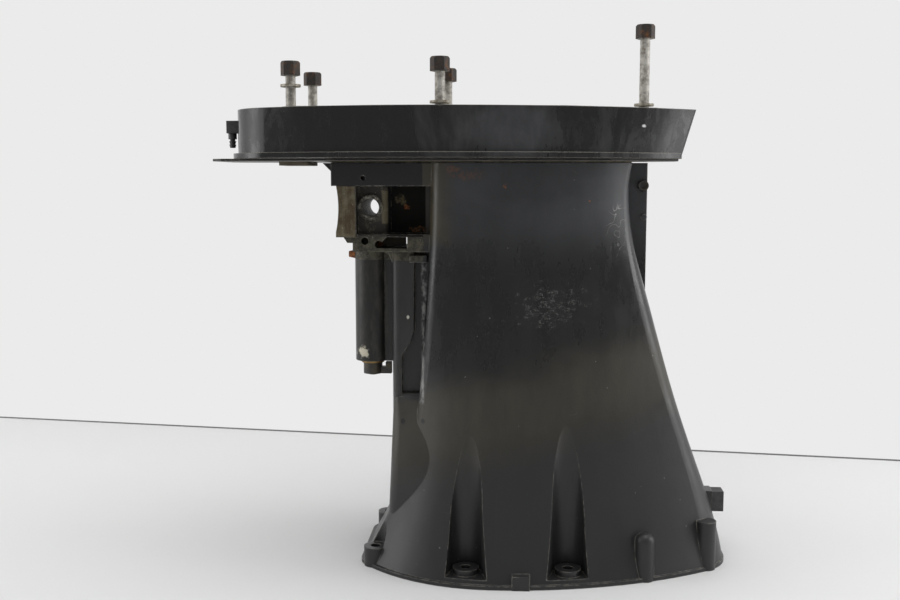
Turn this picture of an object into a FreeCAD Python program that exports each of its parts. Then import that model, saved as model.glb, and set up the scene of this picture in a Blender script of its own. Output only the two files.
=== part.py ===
import FreeCAD, Part
import math
import os
import Sketcher

# The mid-section of an outboard motor: the hollow leg casting that stands on the gearcase joint,
# the cowl pan on top of it, and all that is bolted, pressed or hung in them. Millimetres.
# X runs aft, Y to starboard and Z up. The origin is on the driveshaft's axis, in the plane of
# the face that the gearcase bolts to.

os.makedirs("parts", exist_ok=True)
doc = FreeCAD.newDocument("MidSection")

# Driving dimensions. Radii are radii; a span is measured from the mid-plane to one side;
# a drop is measured down from the top of the leg.

dimensions = {
    # the leg casting
    "leg_height": 412.0, "wall": 5.0, "deck": 10.0,
    "foot_rim": 14.0, "foot_rim_height": 8.0, "step_out": 1.2, "step_height": 4.0,
    "bulkhead_place": 28.0, "bulkhead": 6.0, "bulkhead_foot": 40.0,
    # the rows of gearcase bolts in their pockets
    "row_pitch": 101.0, "fore_row_inset": 24.0, "aft_row_inset": 27.5,
    "bolt_hole": 5.25, "bolt_rim": 13.0, "rim_height": 6.0,
    "pocket_floor": 8.0, "pocket_back": 16.0, "pocket_mouth": 23.0, "pocket_reach": 26.0,
    "corner_inset": 15.0, "corner_stand": 12.0, "corner_pad": 12.0, "corner_height": 20.0,
    # the blind bosses of the rear gearcase studs
    "capsule_inset": 89.0, "capsule_side_inset": 37.0, "capsule": 9.5,
    "capsule_height": 48.0, "capsule_dome": 8.0,
    "aft_boss_inset": 23.0, "aft_boss_stand": 34.0, "aft_boss": 10.0,
    "aft_boss_height": 50.0, "stud_hole": 4.3, "stud_depth": 30.0,
    "lug_place": 46.0, "lug_length": 17.0, "lug_stand": 1.5, "lug_height": 14.0,
    # the mount block in front of the leg
    "block_front": -139.0, "block_span": 46.0, "band_drop": 23.3, "block_aft": -30.0,
    "post_step": 4.5, "post_aft": -114.0, "slab_front": -118.5, "slab_span": 40.0,
    "slab_drop": 90.0, "slab_top_drop": 72.0, "jaw_drop": 75.0, "jaw_rise": 6.0,
    "jaw_length": 6.5, "jaw_slope": 4.0,
    "eye_place": -101.0, "eye_drop": 45.0, "eye": 9.0, "eye_ring": 13.0, "eye_proud": 3.5,
    "eye_span": 31.0, "eye_round": 8.0, "eye_block_aft": -82.5, "web_span": 10.0,
    "saddle": 117.0, "saddle_depth": 2.7, "gusset": 13.0, "gusset_span": 20.0,
    "vent_place": -106.5, "vent_drop": 15.5, "vent": 2.5, "vent_depth": 10.0,
    "pin_hole_place": -106.0, "pin_hole_drop": 79.0, "pin_hole": 3.8,
    "pin_hole_depth": 16.0,
    # the barrel of the shift shaft, and the column behind it: a strut down its front, a
    # thinner web behind the strut, and a cheek on each side under the slab
    "barrel_place": -104.0, "barrel": 18.0, "barrel_drop": 207.0, "barrel_bore": 8.0,
    "bush_bore": 10.0, "bush_length": 15.0, "neck_span": 11.0,
    "column_front": -80.0, "column_span": 30.0, "column_foot": 100.0, "column_round": 8.0,
    "strut": 10.0, "column_web": 22.0, "cheek_aft": -57.0, "cheek_drop": 198.0,
    "cheek_run": 13.0, "cheek_rise": 27.0, "throat": 12.0, "throat_span": 24.0,
    "nub_front": -61.0, "nub_aft": -43.0, "nub_drop": 101.0, "nub_height": 7.0,
    "nub_span": 36.0,
    # the window that the shift arm moves in
    "window_fore": -90.5, "window_aft": -62.7, "window_drop": 86.5, "window_height": 11.6,
    "window_bevel": 7.0, "keyhole_place": -92.0, "keyhole": 4.0, "chamber": 15.0,
    "chamber_span": 20.0,
    # the web behind the leg
    "web_aft": 181.0, "web_fore": 150.0, "web_half": 9.0, "web_drop": 150.0,
    "pin_place": 176.5, "pin_drop": 23.0, "pin": 5.3, "pin_dish": 3.4,
    "pin_dish_depth": 2.5, "pin_span": 16.0,
    "pip_place": 178.0, "pip_drop": 55.0, "pip": 3.0, "pip_stand": 2.0,
    # passages through the deck and all that lies on it
    "exhaust_place": 95.0, "exhaust": 30.0, "drive_passage": 15.0,
    "water_place": 12.0, "water_span": 30.0, "water_passage": 9.0,
    "dowel_place": -60.0, "dowel_span": 24.0, "dowel": 4.0, "dowel_length": 18.0,
    "screw_hole": 4.3, "screw": 4.0, "screw_head": 6.5, "screw_head_height": 8.0,
    "screw_fore": -115.0, "screw_fore_span": 30.0, "screw_mid": 15.0, "screw_mid_span": 50.0,
    "screw_aft": 140.0, "screw_aft_span": 26.0, "screw_bite": 9.0, "head_sink": 1.0,
    "screw_socket": 3.0, "screw_socket_depth": 4.0, "tip_bevel": 1.2, "bevel": 0.8,
    # the stack on the deck
    "gasket": 1.5, "gasket_inset": 1.0, "shelf": 2.5, "pan_floor": 5.0, "thin_gasket": 1.0,
    "adapter_height": 45.0, "adapter_top": 8.0, "adapter_wall": 5.0, "tower_wall": 3.0,
    "adapter_nose": 14.0, "adapter_nose_span": 50.0, "adapter_shoulder": 11.0,
    "adapter_beam": 72.0, "adapter_aft_span": 60.0, "adapter_tail": 12.0,
    "adapter_tail_span": 17.0,
    "shelf_front": -261.0, "shelf_corner": 11.0, "shelf_nose_span": 40.0,
    "shelf_bow": -210.0, "shelf_bow_span": 58.0, "shelf_beam": 81.6, "shelf_aft_span": 54.0,
    "shelf_tail": 211.0, "shelf_tail_span": 15.0,
    "strip_fore": -197.0, "strip_aft": -165.0, "strip_span": 25.0,
    "strip": 4.0,
    # the cowl pan
    "pan_height": 49.4, "pan_wall": 3.5, "pan_nose": -240.0, "pan_flat": 10.0,
    "pan_round": 66.0, "pan_beam_place": -50.0, "pan_beam": 102.0,
    "pan_tail": 229.0, "pan_rake": 14.5, "pan_tail_flat": 6.0, "pan_tail_round": 7.0,
    "lip_out": 5.0, "lip_tail_out": 1.0, "lip_height": 5.5,
    # the hose elbow on the pan
    "elbow_size": 13.0, "elbow_length": 15.5, "elbow_rise": 33.6, "elbow_stub": 4.0,
    "stub_length": 11.5, "nut_height": 5.0,
    "barb": 3.2, "barb_bore": 1.8, "barb_length": 15.0, "barb_offset": 3.0,
    "barb_ridge": 0.5, "barb_pitch": 3.5, "barb_collar": 1.2, "barb_collar_place": 9.0,
    "barb_tail": 4.0,
    # the long bolts
    "shank": 5.0, "head_flats": 17.0, "head_height": 14.0, "bite": 29.0, "socket_depth": 42.0,
    "head_bevel": 1.7, "socket_gap": 0.3,
    "boss": 10.5, "front_bolt_place": -176.0, "front_bolt_span": 57.0, "front_bolt_rise": 30.0,
    "mid_bolt_place": -28.0, "mid_bolt_span": 58.0, "mid_bolt_rise": 33.5,
    "rear_bolt_place": 177.0, "rear_bolt_rise": 70.0,
    "washer": 10.0, "washer_height": 2.5, "front_washer_rise": 19.0, "low_washer_rise": 2.6,
    # inside the leg
    "tube_wall": 3.0, "tube_length": 170.0, "tube_flare": 6.0, "tube_flange": 46.0,
    "tube_flange_height": 4.0, "tube_screw_circle": 39.5, "tube_screw": 3.0,
    "tube_screw_head": 4.8, "tube_screw_head_height": 4.0, "tube_screw_bite": 8.0,
    "water_tube": 5.0, "water_tube_bore": 3.8, "water_tube_foot": 12.0,
    "guide_level": 60.0, "guide_height": 8.0, "guide_hole": 9.0, "guide_lug": 15.0,
    "flange": 3.0, "flange_height": 2.5,
    "drive_bore": 8.0, "drive_bush": 11.0, "drive_bush_length": 24.0, "drive_boss": 17.0,
    "seal": 14.0, "seal_height": 7.0, "seal_lip": 2.0, "lip_gap": 0.4,
    # the shift gear
    "shift_shaft": 5.0, "shaft_end": 1.5, "hub": 10.0, "arm_half": 4.5, "arm_tip": -68.0,
    "arm_tip_half": 3.2,
    "clamp_half": 7.0, "clamp_tip": -90.0, "clamp_screw_place": -94.5, "clamp_screw": 2.0,
    "clamp_head": 3.5,
    "clamp_head_height": 3.0, "lever_height": 12.0, "lever_arm": 7.0, "lever_tip": -84.0,
    "lever_toe": 6.0,
    "thrust_washer": 12.0, "thrust_height": 2.4,
    "lock_screw": 3.5, "lock_head": 4.5, "lock_head_end": 3.2, "lock_head_height": 6.5,
    "lock_drop": 95.0,
    # the block on the trailing edge
    "plug_flare": 0.3, "plug_length": 12.0, "plug_half": 9.0, "plug_foot": 47.5,
    "plug_height": 21.0, "plug_stem": 5.0, "plug_stem_length": 18.0, "seat_pad": 20.0,
    "seat_margin": 1.0,
    # clearances
    "fit": 0.1, "running": 0.08, "side_gap": 0.5,
}

# Plan outlines of the leg at seven levels, from the foot up. Each outline has a flat nose and a
# flat tail with rounded corners, and sides that bulge to the beam. The upper four levels are
# measured down from the top, so that a taller leg grows in its middle.

outlines = {
    "foot": {"nose": -110.0, "nose_flat": 46.0, "nose_round": 20.0, "beam_place": 25.0,
             "beam": 121.0, "tail": 266.0, "tail_flat": 14.0, "tail_round": 50.0},
    "shoe": {"level": 60.0, "nose": -80.0, "nose_flat": 44.0, "nose_round": 15.0,
             "beam_place": 28.0, "beam": 101.0, "tail": 251.0, "tail_flat": 16.0,
             "tail_round": 34.0},
    "shin": {"level": 150.0, "nose": -54.0, "nose_flat": 42.0, "nose_round": 16.0,
             "beam_place": 35.0, "beam": 84.0, "tail": 219.0, "tail_flat": 18.0,
             "tail_round": 24.0},
    "waist": {"drop": 162.0, "nose": -45.0, "nose_flat": 41.0, "nose_round": 16.0,
              "beam_place": 45.0, "beam": 72.0, "tail": 189.0, "tail_flat": 18.0,
              "tail_round": 24.0},
    "neck": {"drop": 112.0, "nose": -41.5, "nose_flat": 41.0, "nose_round": 16.0,
             "beam_place": 52.0, "beam": 68.0, "tail": 175.0, "tail_flat": 18.0,
             "tail_round": 22.0},
    "collar": {"drop": 50.0, "nose": -39.0, "nose_flat": 41.0, "nose_round": 16.0,
               "beam_place": 58.0, "beam": 65.0, "tail": 162.0, "tail_flat": 20.0,
               "tail_round": 16.0},
    "crown": {"nose": -38.0, "nose_flat": 41.0, "nose_round": 16.0, "beam_place": 60.0,
              "beam": 64.0, "tail": 164.0, "tail_flat": 24.0, "tail_round": 10.0},
}

# The same for the toe, the wider part of the foot that stands out in front of the leg and
# closes into the column.

toe_outlines = {
    "toe_foot": {"level": 40.0, "nose": -83.0, "nose_flat": 44.0, "nose_round": 13.0,
                 "beam_place": 40.0, "beam": 76.0, "tail": 70.0, "tail_flat": 55.0,
                 "tail_round": 10.0},
    "toe_shin": {"level": 138.0, "nose": -79.0, "nose_flat": 38.0, "nose_round": 13.0,
                 "beam_place": 40.0, "beam": 70.0, "tail": 70.0, "tail_flat": 50.0,
                 "tail_round": 10.0},
    "toe_top": {"level": 174.0, "nose": -79.5, "nose_flat": 18.0, "nose_round": 9.0,
                "beam_place": 0.0, "beam": 31.0, "tail": 60.0, "tail_flat": 20.0,
                "tail_round": 10.0},
}

for level_name, outline in list(outlines.items()) + list(toe_outlines.items()):
    for key, size in outline.items():
        dimensions[level_name + "_" + key] = size

sheet = doc.addObject("Spreadsheet::Sheet", "Sizes")
for row, (alias, size) in enumerate(dimensions.items(), start=1):
    sheet.set("A%d" % row, alias)
    sheet.set("B%d" % row, str(size))
    sheet.setAlias("B%d" % row, alias)
doc.recompute()


class Measure:
    # A number that remembers the sheet expression it was worked out with.

    def __init__(self, value, text):
        self.value = value
        self.text = text

    def __add__(self, other):
        return Measure(self.value + number(other), "(%s + %s)" % (self.text, written(other)))

    def __radd__(self, other):
        return Measure(other + self.value, "(%s + %s)" % (written(other), self.text))

    def __sub__(self, other):
        return Measure(self.value - number(other), "(%s - %s)" % (self.text, written(other)))

    def __rsub__(self, other):
        return Measure(other - self.value, "(%s - %s)" % (written(other), self.text))

    def __mul__(self, other):
        return Measure(self.value * number(other), "(%s * %s)" % (self.text, written(other)))

    __rmul__ = __mul__

    def __truediv__(self, other):
        return Measure(self.value / number(other), "(%s / %s)" % (self.text, written(other)))

    def __neg__(self):
        return Measure(-self.value, "(0 - %s)" % self.text)


def number(value):
    return value.value if isinstance(value, Measure) else float(value)


def written(value):
    return value.text if isinstance(value, Measure) else "%.10g" % value


class Sizes:
    # Sizes().wall is the sheet's value of wall.

    def __getattr__(self, alias):
        return Measure(float(sheet.get(alias)), "Sizes." + alias)


s = Sizes()
middle = Measure(0.0, "0")


def bind(thing, setting, value):
    if isinstance(value, Measure):
        thing.setExpression(setting, value.text)
    elif "." not in setting:
        setattr(thing, setting, value)
    elif value != 0:
        thing.setExpression(setting, written(value))


def place(thing, x=0, y=0, z=0):
    bind(thing, "Placement.Base.x", x)
    bind(thing, "Placement.Base.y", y)
    bind(thing, "Placement.Base.z", z)
    return thing


# Sketch helpers. A point is a pair of measures in the sketch's own plane.

def new_body(label):
    body = doc.addObject("PartDesign::Body", label)
    body.Label = label
    return body


def new_sketch(body, role, level=0):
    sketch = body.newObject("Sketcher::SketchObject", "Sketch")
    plane = next(item for item in body.Origin.OriginFeatures if item.Role == role)
    sketch.AttachmentSupport = (plane, [""])
    sketch.MapMode = "FlatFace"
    if level:
        bind(sketch, "AttachmentOffset.Base.z", level)
    return sketch


def hold(sketch, kind, geometry, *rest):
    # Adds one dimension to the sketch and ties it to the sheet.
    value = rest[-1]
    index = sketch.addConstraint(
        Sketcher.Constraint(kind, geometry, *rest[:-1], number(value)))
    if isinstance(value, Measure):
        sketch.setExpression("Constraints[%d]" % index, value.text)


def pin(sketch, geometry, end, x, y):
    for kind, value, axis in (("DistanceX", x, -2), ("DistanceY", y, -1)):
        if number(value) == 0:
            sketch.addConstraint(Sketcher.Constraint("PointOnObject", geometry, end, axis))
        else:
            hold(sketch, kind, geometry, end, value)


def point(x, y):
    return FreeCAD.Vector(number(x), number(y), 0)


def polygon(body, role, points, level=0):
    sketch = new_sketch(body, role, level)
    count = len(points)
    for index in range(count):
        start, end = points[index], points[(index + 1) % count]
        sketch.addGeometry(Part.LineSegment(point(*start), point(*end)), False)
    for index, (x, y) in enumerate(points):
        sketch.addConstraint(
            Sketcher.Constraint("Coincident", (index - 1) % count, 2, index, 1))
        pin(sketch, index, 1, x, y)
    return sketch


def discs(body, role, circles, level=0):
    # Each circle is (x, y, radius).
    sketch = new_sketch(body, role, level)
    for index, (x, y, radius) in enumerate(circles):
        circle = Part.Circle(point(x, y), FreeCAD.Vector(0, 0, 1), number(radius))
        sketch.addGeometry(circle, False)
        pin(sketch, index, 3, x, y)
        hold(sketch, "Radius", index, radius)
    return sketch


def on_arc(centre, radius, angle):
    return FreeCAD.Vector(centre.x + radius * math.cos(angle),
                          centre.y + radius * math.sin(angle), 0)


def arc_through(centre, radius, start, end):
    # The arc from one angle to another, anticlockwise.
    return Part.Arc(on_arc(centre, radius, start), on_arc(centre, radius, (start + end) / 2),
                    on_arc(centre, radius, end))


def side_circle(beam_place, beam, corner, corner_radius):
    # The circle that is level at the beam and touches a rounded corner from outside.
    run = corner.x - beam_place
    rise = beam - corner.y
    radius = (run ** 2 + rise ** 2 - corner_radius ** 2) / (2 * (rise - corner_radius))
    centre = FreeCAD.Vector(beam_place, beam - radius, 0)
    return centre, radius, math.atan2(corner.y - centre.y, corner.x - centre.x)


def hull_outline(body, shape, level=0, inset=0):
    # The plan outline of a casting: flat tail, rounded corner, bulged side, rounded corner,
    # flat nose, and the same back on the other side. Inset moves every edge inwards.
    nose, tail = shape["nose"] + inset, shape["tail"] - inset
    nose_round, tail_round = shape["nose_round"] - inset, shape["tail_round"] - inset
    beam = shape["beam"] - inset
    beam_place, flat_fore, flat_aft = shape["beam_place"], shape["nose_flat"], shape["tail_flat"]
    aft = point(tail - tail_round, flat_aft)
    fore = point(nose + nose_round, flat_fore)
    aft_side, aft_radius, aft_angle = side_circle(
        number(beam_place), number(beam), aft, number(tail_round))
    fore_side, fore_radius, fore_angle = side_circle(
        number(beam_place), number(beam), fore, number(nose_round))
    up = math.pi / 2
    upper = [
        (aft, number(tail_round), 0, aft_angle),
        (aft_side, aft_radius, aft_angle, up),
        (fore_side, fore_radius, up, fore_angle),
        (fore, number(nose_round), fore_angle, math.pi),
    ]
    sketch = new_sketch(body, "XY_Plane", level)
    sketch.addGeometry(Part.LineSegment(point(tail, -flat_aft), point(tail, flat_aft)), False)
    for centre, radius, start, end in upper:
        sketch.addGeometry(arc_through(centre, radius, start, end), False)
    sketch.addGeometry(Part.LineSegment(point(nose, flat_fore), point(nose, -flat_fore)), False)
    for centre, radius, start, end in reversed(upper):
        below = FreeCAD.Vector(centre.x, -centre.y, 0)
        sketch.addGeometry(arc_through(below, radius, -end, -start), False)
    for index in range(10):
        sketch.addConstraint(
            Sketcher.Constraint("Tangent", index, 2, (index + 1) % 10, 1))
    for index, x, flat, top in ((0, tail, flat_aft, 2), (5, nose, flat_fore, 1)):
        sketch.addConstraint(Sketcher.Constraint("Symmetric", index, 1, index, 2, -1))
        pin(sketch, index, top, x, flat)
    for index, radius in ((1, tail_round), (4, nose_round), (6, nose_round), (9, tail_round)):
        hold(sketch, "Radius", index, radius)
    pin(sketch, 2, 2, beam_place, beam)
    pin(sketch, 7, 2, beam_place, -beam)
    hold(sketch, "DistanceX", 2, 3, beam_place)
    hold(sketch, "DistanceX", 7, 3, beam_place)
    return sketch


# Feature helpers.

def pad(body, sketch, length, both_ways=False, downwards=False):
    doc.recompute()
    feature = body.newObject("PartDesign::Pad", "Pad")
    feature.Profile = sketch
    bind(feature, "Length", length)
    feature.SideType = "Symmetric" if both_ways else "One side"
    feature.Reversed = downwards
    return feature


def cut(body, sketch, length, upwards=True, both_ways=False):
    doc.recompute()
    feature = body.newObject("PartDesign::Pocket", "Pocket")
    feature.Profile = sketch
    bind(feature, "Length", length)
    feature.SideType = "Symmetric" if both_ways else "One side"
    feature.Reversed = upwards
    return feature


def loft(body, sketches, kind="Additive"):
    doc.recompute()
    feature = body.newObject("PartDesign::%sLoft" % kind, "Loft")
    feature.Profile = sketches[0]
    feature.Sections = sketches[1:]
    return feature


def turned(label, points, x=0, y=0, z=0):
    # A piece turned about its own upright axis, from (radius, height) points.
    body = new_body(label)
    sketch = polygon(body, "XZ_Plane", points)
    doc.recompute()
    feature = body.newObject("PartDesign::Revolution", "Turn")
    feature.Profile = sketch
    feature.ReferenceAxis = (sketch, ["V_Axis"])
    feature.Angle = 360
    return place(body, x, y, z)


def ring(label, inner, outer, height, x=0, y=0, z=0):
    return turned(label, [(inner, 0), (outer, 0), (outer, height), (inner, height)], x, y, z)


def lie(body, along):
    # Turns a piece about its own origin, so that its upright axis runs along X or Y.
    turns = {"X": ((0, 1, 0), 90), "-X": ((0, 1, 0), -90), "Y": ((1, 0, 0), -90)}
    axis, angle = turns[along]
    body.Placement.Rotation = FreeCAD.Rotation(FreeCAD.Vector(*axis), angle)
    return body


def rod(radius, length, x=0, y=0, z=0, along="Z"):
    thing = doc.addObject("Part::Cylinder", "Rod")
    bind(thing, "Radius", radius)
    bind(thing, "Height", length)
    if along != "Z":
        lie(thing, along)
    return place(thing, x, y, z)


def cross_rod(radius, span, x, z):
    # A rod across the mid-plane, as far to port as to starboard.
    return rod(radius, span * 2, x, -span, z, "Y")


def block(start, end):
    thing = doc.addObject("Part::Box", "Block")
    for setting, low, high in zip(("Length", "Width", "Height"), start, end):
        bind(thing, setting, high - low)
    return place(thing, *start)


def fused(*things, label="Fused"):
    result = doc.addObject("Part::MultiFuse", label)
    result.Shapes = list(things)
    result.Label = label
    return result


def less(base, tool, label="Less"):
    result = doc.addObject("Part::Cut", label)
    result.Base = base
    result.Tool = tool
    result.Label = label
    return result


def mirrored(thing):
    result = doc.addObject("Part::Mirroring", "Mirror")
    result.Source = thing
    result.Normal = (0, 1, 0)
    return result


def both_sides(*things):
    return list(things) + [mirrored(thing) for thing in things]


def group(label, things):
    result = doc.addObject("Part::Compound", label)
    result.Links = list(things)
    result.Label = label
    return result


def round_upright_edges(body, feature, radius):
    doc.recompute()
    names = []
    for index, edge in enumerate(feature.Shape.Edges, start=1):
        along = edge.Vertexes[-1].Point - edge.Vertexes[0].Point
        if along.Length > 0 and abs(along.z) > 0.999 * along.Length:
            names.append("Edge%d" % index)
    rounding = body.newObject("PartDesign::Fillet", "Rounding")
    rounding.Base = (feature, names)
    bind(rounding, "Radius", radius)
    return rounding


def hexagon(body, flats, level=0):
    corner = flats / math.sqrt(3)
    points = []
    for index in range(6):
        angle = math.radians(60 * index)
        points.append((corner * round(math.cos(angle), 9), corner * round(math.sin(angle), 9)))
    return polygon(body, "XY_Plane", points, level)


# Levels that many pieces share.

top = s.leg_height
shelf_level = top + s.gasket
pan_level = shelf_level + s.shelf
adapter_gasket_level = pan_level + s.pan_floor
adapter_level = adapter_gasket_level + s.thin_gasket
bolting_face = adapter_level + s.adapter_height
slab_foot = top - s.slab_drop
slab_top = top - s.slab_top_drop
barrel_foot = top - s.barrel_drop
window_foot = top - s.window_drop
drive_bush_foot = top - s.deck - s.drive_bush_length + s.seal_height + s.seal_lip
under_screw_head = bolting_face - s.screw_head_height - s.head_sink
foot_corner = (s.foot_nose + s.corner_inset, s.foot_nose_flat + s.corner_stand)
capsule_spot = (s.foot_tail - s.capsule_inset, s.foot_beam - s.capsule_side_inset)
aft_boss_spot = (s.foot_tail - s.aft_boss_inset, s.foot_tail_flat + s.aft_boss_stand)
plug_seat = s.shoe_tail + (s.foot_tail - s.shoe_tail) * s.plug_flare
post_front = s.block_front + s.post_step
far = 60.0  # how far a cutting tool stands out past what it cuts
past = 1.0  # the same where there is little room


def outline_of(name):
    return {key: getattr(s, name + "_" + key) for key in outlines["foot"]}


def level_of(name):
    if name == "foot":
        return 0
    if name == "crown":
        return top
    if name in outlines and "drop" in outlines[name]:
        return top - getattr(s, name + "_drop")
    return getattr(s, name + "_level")


# The leg casting. Its outside is one loft, its inside another, a wall further in. The bulkhead,
# the pocket walls and the deck's boss are what the core leaves standing.

def leg_outside():
    body = new_body("leg_outside")
    loft(body, [hull_outline(body, outline_of(name), level_of(name)) for name in outlines])
    pad(body, hull_outline(body, outline_of("foot"), 0, -s.step_out), s.step_height)
    return body


def toe(inset, label):
    body = new_body(label)
    loft(body, [hull_outline(body, outline_of(name), level_of(name), inset)
                for name in toe_outlines])
    return body


def leg_core():
    body = new_body("leg_core")
    sections = []
    for name in outlines:
        level = level_of(name)
        if name == "foot":
            level = s.foot_rim_height
        if name == "crown":
            level = top - s.deck
        sections.append(hull_outline(body, outline_of(name), level, s.wall))
    loft(body, sections)
    pad(body, hull_outline(body, outline_of("foot"), 0, s.foot_rim), s.foot_rim_height * 2)
    return body


def column_core():
    # The hollow in the column in front of the leg, which opens into the fore chamber.
    span = s.column_web - s.wall
    return block((s.column_front + s.wall, -span, s.column_foot + s.wall),
                 (s.block_aft, span, slab_foot - s.wall))


def pocket_outline(body, x, span, back, mouth, level):
    # Port side: a round back about the bolt, and sides that splay out to the mouth.
    sketch = new_sketch(body, "XY_Plane", level)
    centre = point(x, -span)
    mouth_level = -span - s.pocket_reach
    corners = [(x - back, -span), (x - mouth, mouth_level), (x + mouth, mouth_level),
               (x + back, -span)]
    sketch.addGeometry(arc_through(centre, number(back), 0, math.pi), False)
    for start, end in zip(corners, corners[1:]):
        sketch.addGeometry(Part.LineSegment(point(*start), point(*end)), False)
    for index in range(4):
        sketch.addConstraint(Sketcher.Constraint("Coincident", index, 2, (index + 1) % 4, 1))
    for index, corner in enumerate(corners, start=1):
        if index < 4:
            pin(sketch, index, 1, *corner)
    hold(sketch, "Radius", 0, back)
    hold(sketch, "DistanceY", 0, 3, -span)
    hold(sketch, "DistanceY", 0, 1, -span)
    return sketch


def pocket_column(label, x, span, back, mouth, level):
    body = new_body(label)
    pad(body, pocket_outline(body, x, span, back, mouth, level), s.shin_level)
    return body


def bolt_rows():
    return ((middle, s.foot_beam - s.fore_row_inset),
            (s.row_pitch, s.foot_beam - s.aft_row_inset))


def core_liners():
    liners = []
    for x, span in bolt_rows():
        liners.append(pocket_column("pocket_liner", x, span, s.pocket_back + s.wall,
                                    s.pocket_mouth + s.wall, 0))
    corner = rod(s.corner_pad + s.wall, s.shoe_level, foot_corner[0], -foot_corner[1])
    capsule = rod(s.capsule, s.capsule_height - s.capsule_dome, capsule_spot[0],
                  -capsule_spot[1])
    aft = rod(s.aft_boss, s.aft_boss_height - s.wall, aft_boss_spot[0], -aft_boss_spot[1])
    reach = s.foot_beam + far
    bulkhead = block((s.bulkhead_place, -reach, s.bulkhead_foot),
                     (s.bulkhead_place + s.bulkhead, reach, top))
    boss = rod(s.drive_boss, s.deck + s.drive_bush_length, 0, 0,
               top - s.deck - s.drive_bush_length + s.seal_height)
    lug = block((s.water_place, -s.water_span - s.guide_lug, s.guide_level),
                (s.bulkhead_place + past, -s.water_span + s.guide_lug,
                 s.guide_level + s.guide_height))
    eye = rod(s.guide_lug, s.guide_height, s.water_place, -s.water_span, s.guide_level)
    return fused(*both_sides(*liners, corner, capsule, aft), bulkhead, boss, lug, eye)


def mount_block():
    body = new_body("mount_block")
    band_foot = top - s.band_drop
    jaw = top - s.jaw_drop
    pad(body, polygon(body, "XZ_Plane", [
        (s.block_front, top), (s.block_front, band_foot), (post_front, band_foot),
        (post_front, jaw), (s.post_aft, jaw), (s.post_aft, band_foot),
        (s.block_aft, band_foot), (s.block_aft, top)]),
        s.block_span * 2, both_ways=True)
    pad(body, polygon(body, "XZ_Plane", [
        (post_front, slab_top), (post_front, jaw), (post_front + s.jaw_length, jaw),
        (post_front + s.jaw_length + s.jaw_slope, jaw - s.jaw_rise),
        (s.slab_front, jaw - s.jaw_rise), (s.slab_front, slab_foot),
        (s.block_aft, slab_foot), (s.block_aft, slab_top)]),
        s.slab_span * 2, both_ways=True)
    pad(body, polygon(body, "XZ_Plane", [
        (s.eye_block_aft, band_foot), (s.eye_block_aft, slab_top), (s.block_aft, slab_top),
        (s.block_aft, band_foot)]), s.web_span * 2, both_ways=True)
    pad(body, polygon(body, "XZ_Plane", [
        (s.block_front - s.gusset, top), (s.block_front, top - s.gusset),
        (s.block_front, top)]), s.gusset_span * 2, both_ways=True)
    return body


def eye_pieces():
    # The block that the mount's bolt passes through, with a ring proud of it on each side.
    level = top - s.eye_drop
    foot = slab_top - past
    body = new_body("eye_block")
    core_block = pad(body, polygon(body, "XY_Plane", [
        (s.post_aft - s.eye_round, -s.eye_span), (s.eye_block_aft, -s.eye_span),
        (s.eye_block_aft, s.eye_span), (s.post_aft - s.eye_round, s.eye_span)], foot),
        top - s.band_drop + past - foot)
    round_upright_edges(body, core_block, s.eye_round)
    return [body, cross_rod(s.eye_ring, s.eye_span + s.eye_proud, s.eye_place, level)]


def side_plate(label, points, span):
    # A plate upright in the mid-plane, as far to port as to starboard.
    body = new_body(label)
    pad(body, polygon(body, "XZ_Plane", points), span * 2, both_ways=True)
    return body


def barrel_and_column():
    front, foot = s.column_front, s.column_foot
    strut_aft = front + s.strut
    strut = new_body("strut")
    post = pad(strut, polygon(strut, "XY_Plane", [
        (front, -s.column_span), (strut_aft + s.column_round, -s.column_span),
        (strut_aft + s.column_round, s.column_span), (front, s.column_span)], foot),
        slab_top - foot)
    round_upright_edges(strut, post, s.column_round)
    sides = block((strut_aft, -s.column_span - past, foot - past),
                  (strut_aft + far, s.column_span + past, top))
    cheek_foot = top - s.cheek_drop
    cheek = side_plate("cheek", [
        (strut_aft - past, slab_top), (strut_aft - past, cheek_foot - past),
        (strut_aft, cheek_foot), (s.cheek_aft - s.cheek_run * 0.3,
                                  cheek_foot + s.cheek_rise * 0.5),
        (s.cheek_aft, cheek_foot + s.cheek_rise), (s.cheek_aft, slab_top)], s.column_span)
    web = side_plate("column_web", [
        (strut_aft - past, slab_top), (strut_aft - past, foot), (s.block_aft, foot),
        (s.block_aft, slab_top)], s.column_web)
    throat = side_plate("throat", [
        (front + past, slab_foot + past), (front - s.throat, slab_foot + past),
        (front - s.throat, slab_foot), (front - s.throat * 0.3, slab_foot - s.throat * 0.3),
        (front, slab_foot - s.throat), (front + past, slab_foot - s.throat)], s.throat_span)
    neck = block((s.barrel_place, -s.neck_span, barrel_foot),
                 (front + s.column_round, s.neck_span, slab_foot + past))
    barrel = rod(s.barrel, s.barrel_drop - s.slab_drop + past, s.barrel_place, 0, barrel_foot)
    nub = block((s.nub_front, -s.nub_span, top - s.nub_drop),
                (s.nub_aft, s.nub_span, top - s.nub_drop + s.nub_height))
    return [less(strut, sides), cheek, web, throat, neck, barrel, nub]


def rear_web():
    body = new_body("rear_web")
    foot = top - s.web_drop
    pad(body, polygon(body, "XZ_Plane", [
        (s.web_fore, top), (s.web_aft, top), (s.web_aft, foot + s.web_half * 2),
        (s.web_fore, foot)]), s.web_half * 2, both_ways=True)
    pip = cross_rod(s.pip, s.web_half + s.pip_stand, s.pip_place, top - s.pip_drop)
    return [body, pip]


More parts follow.
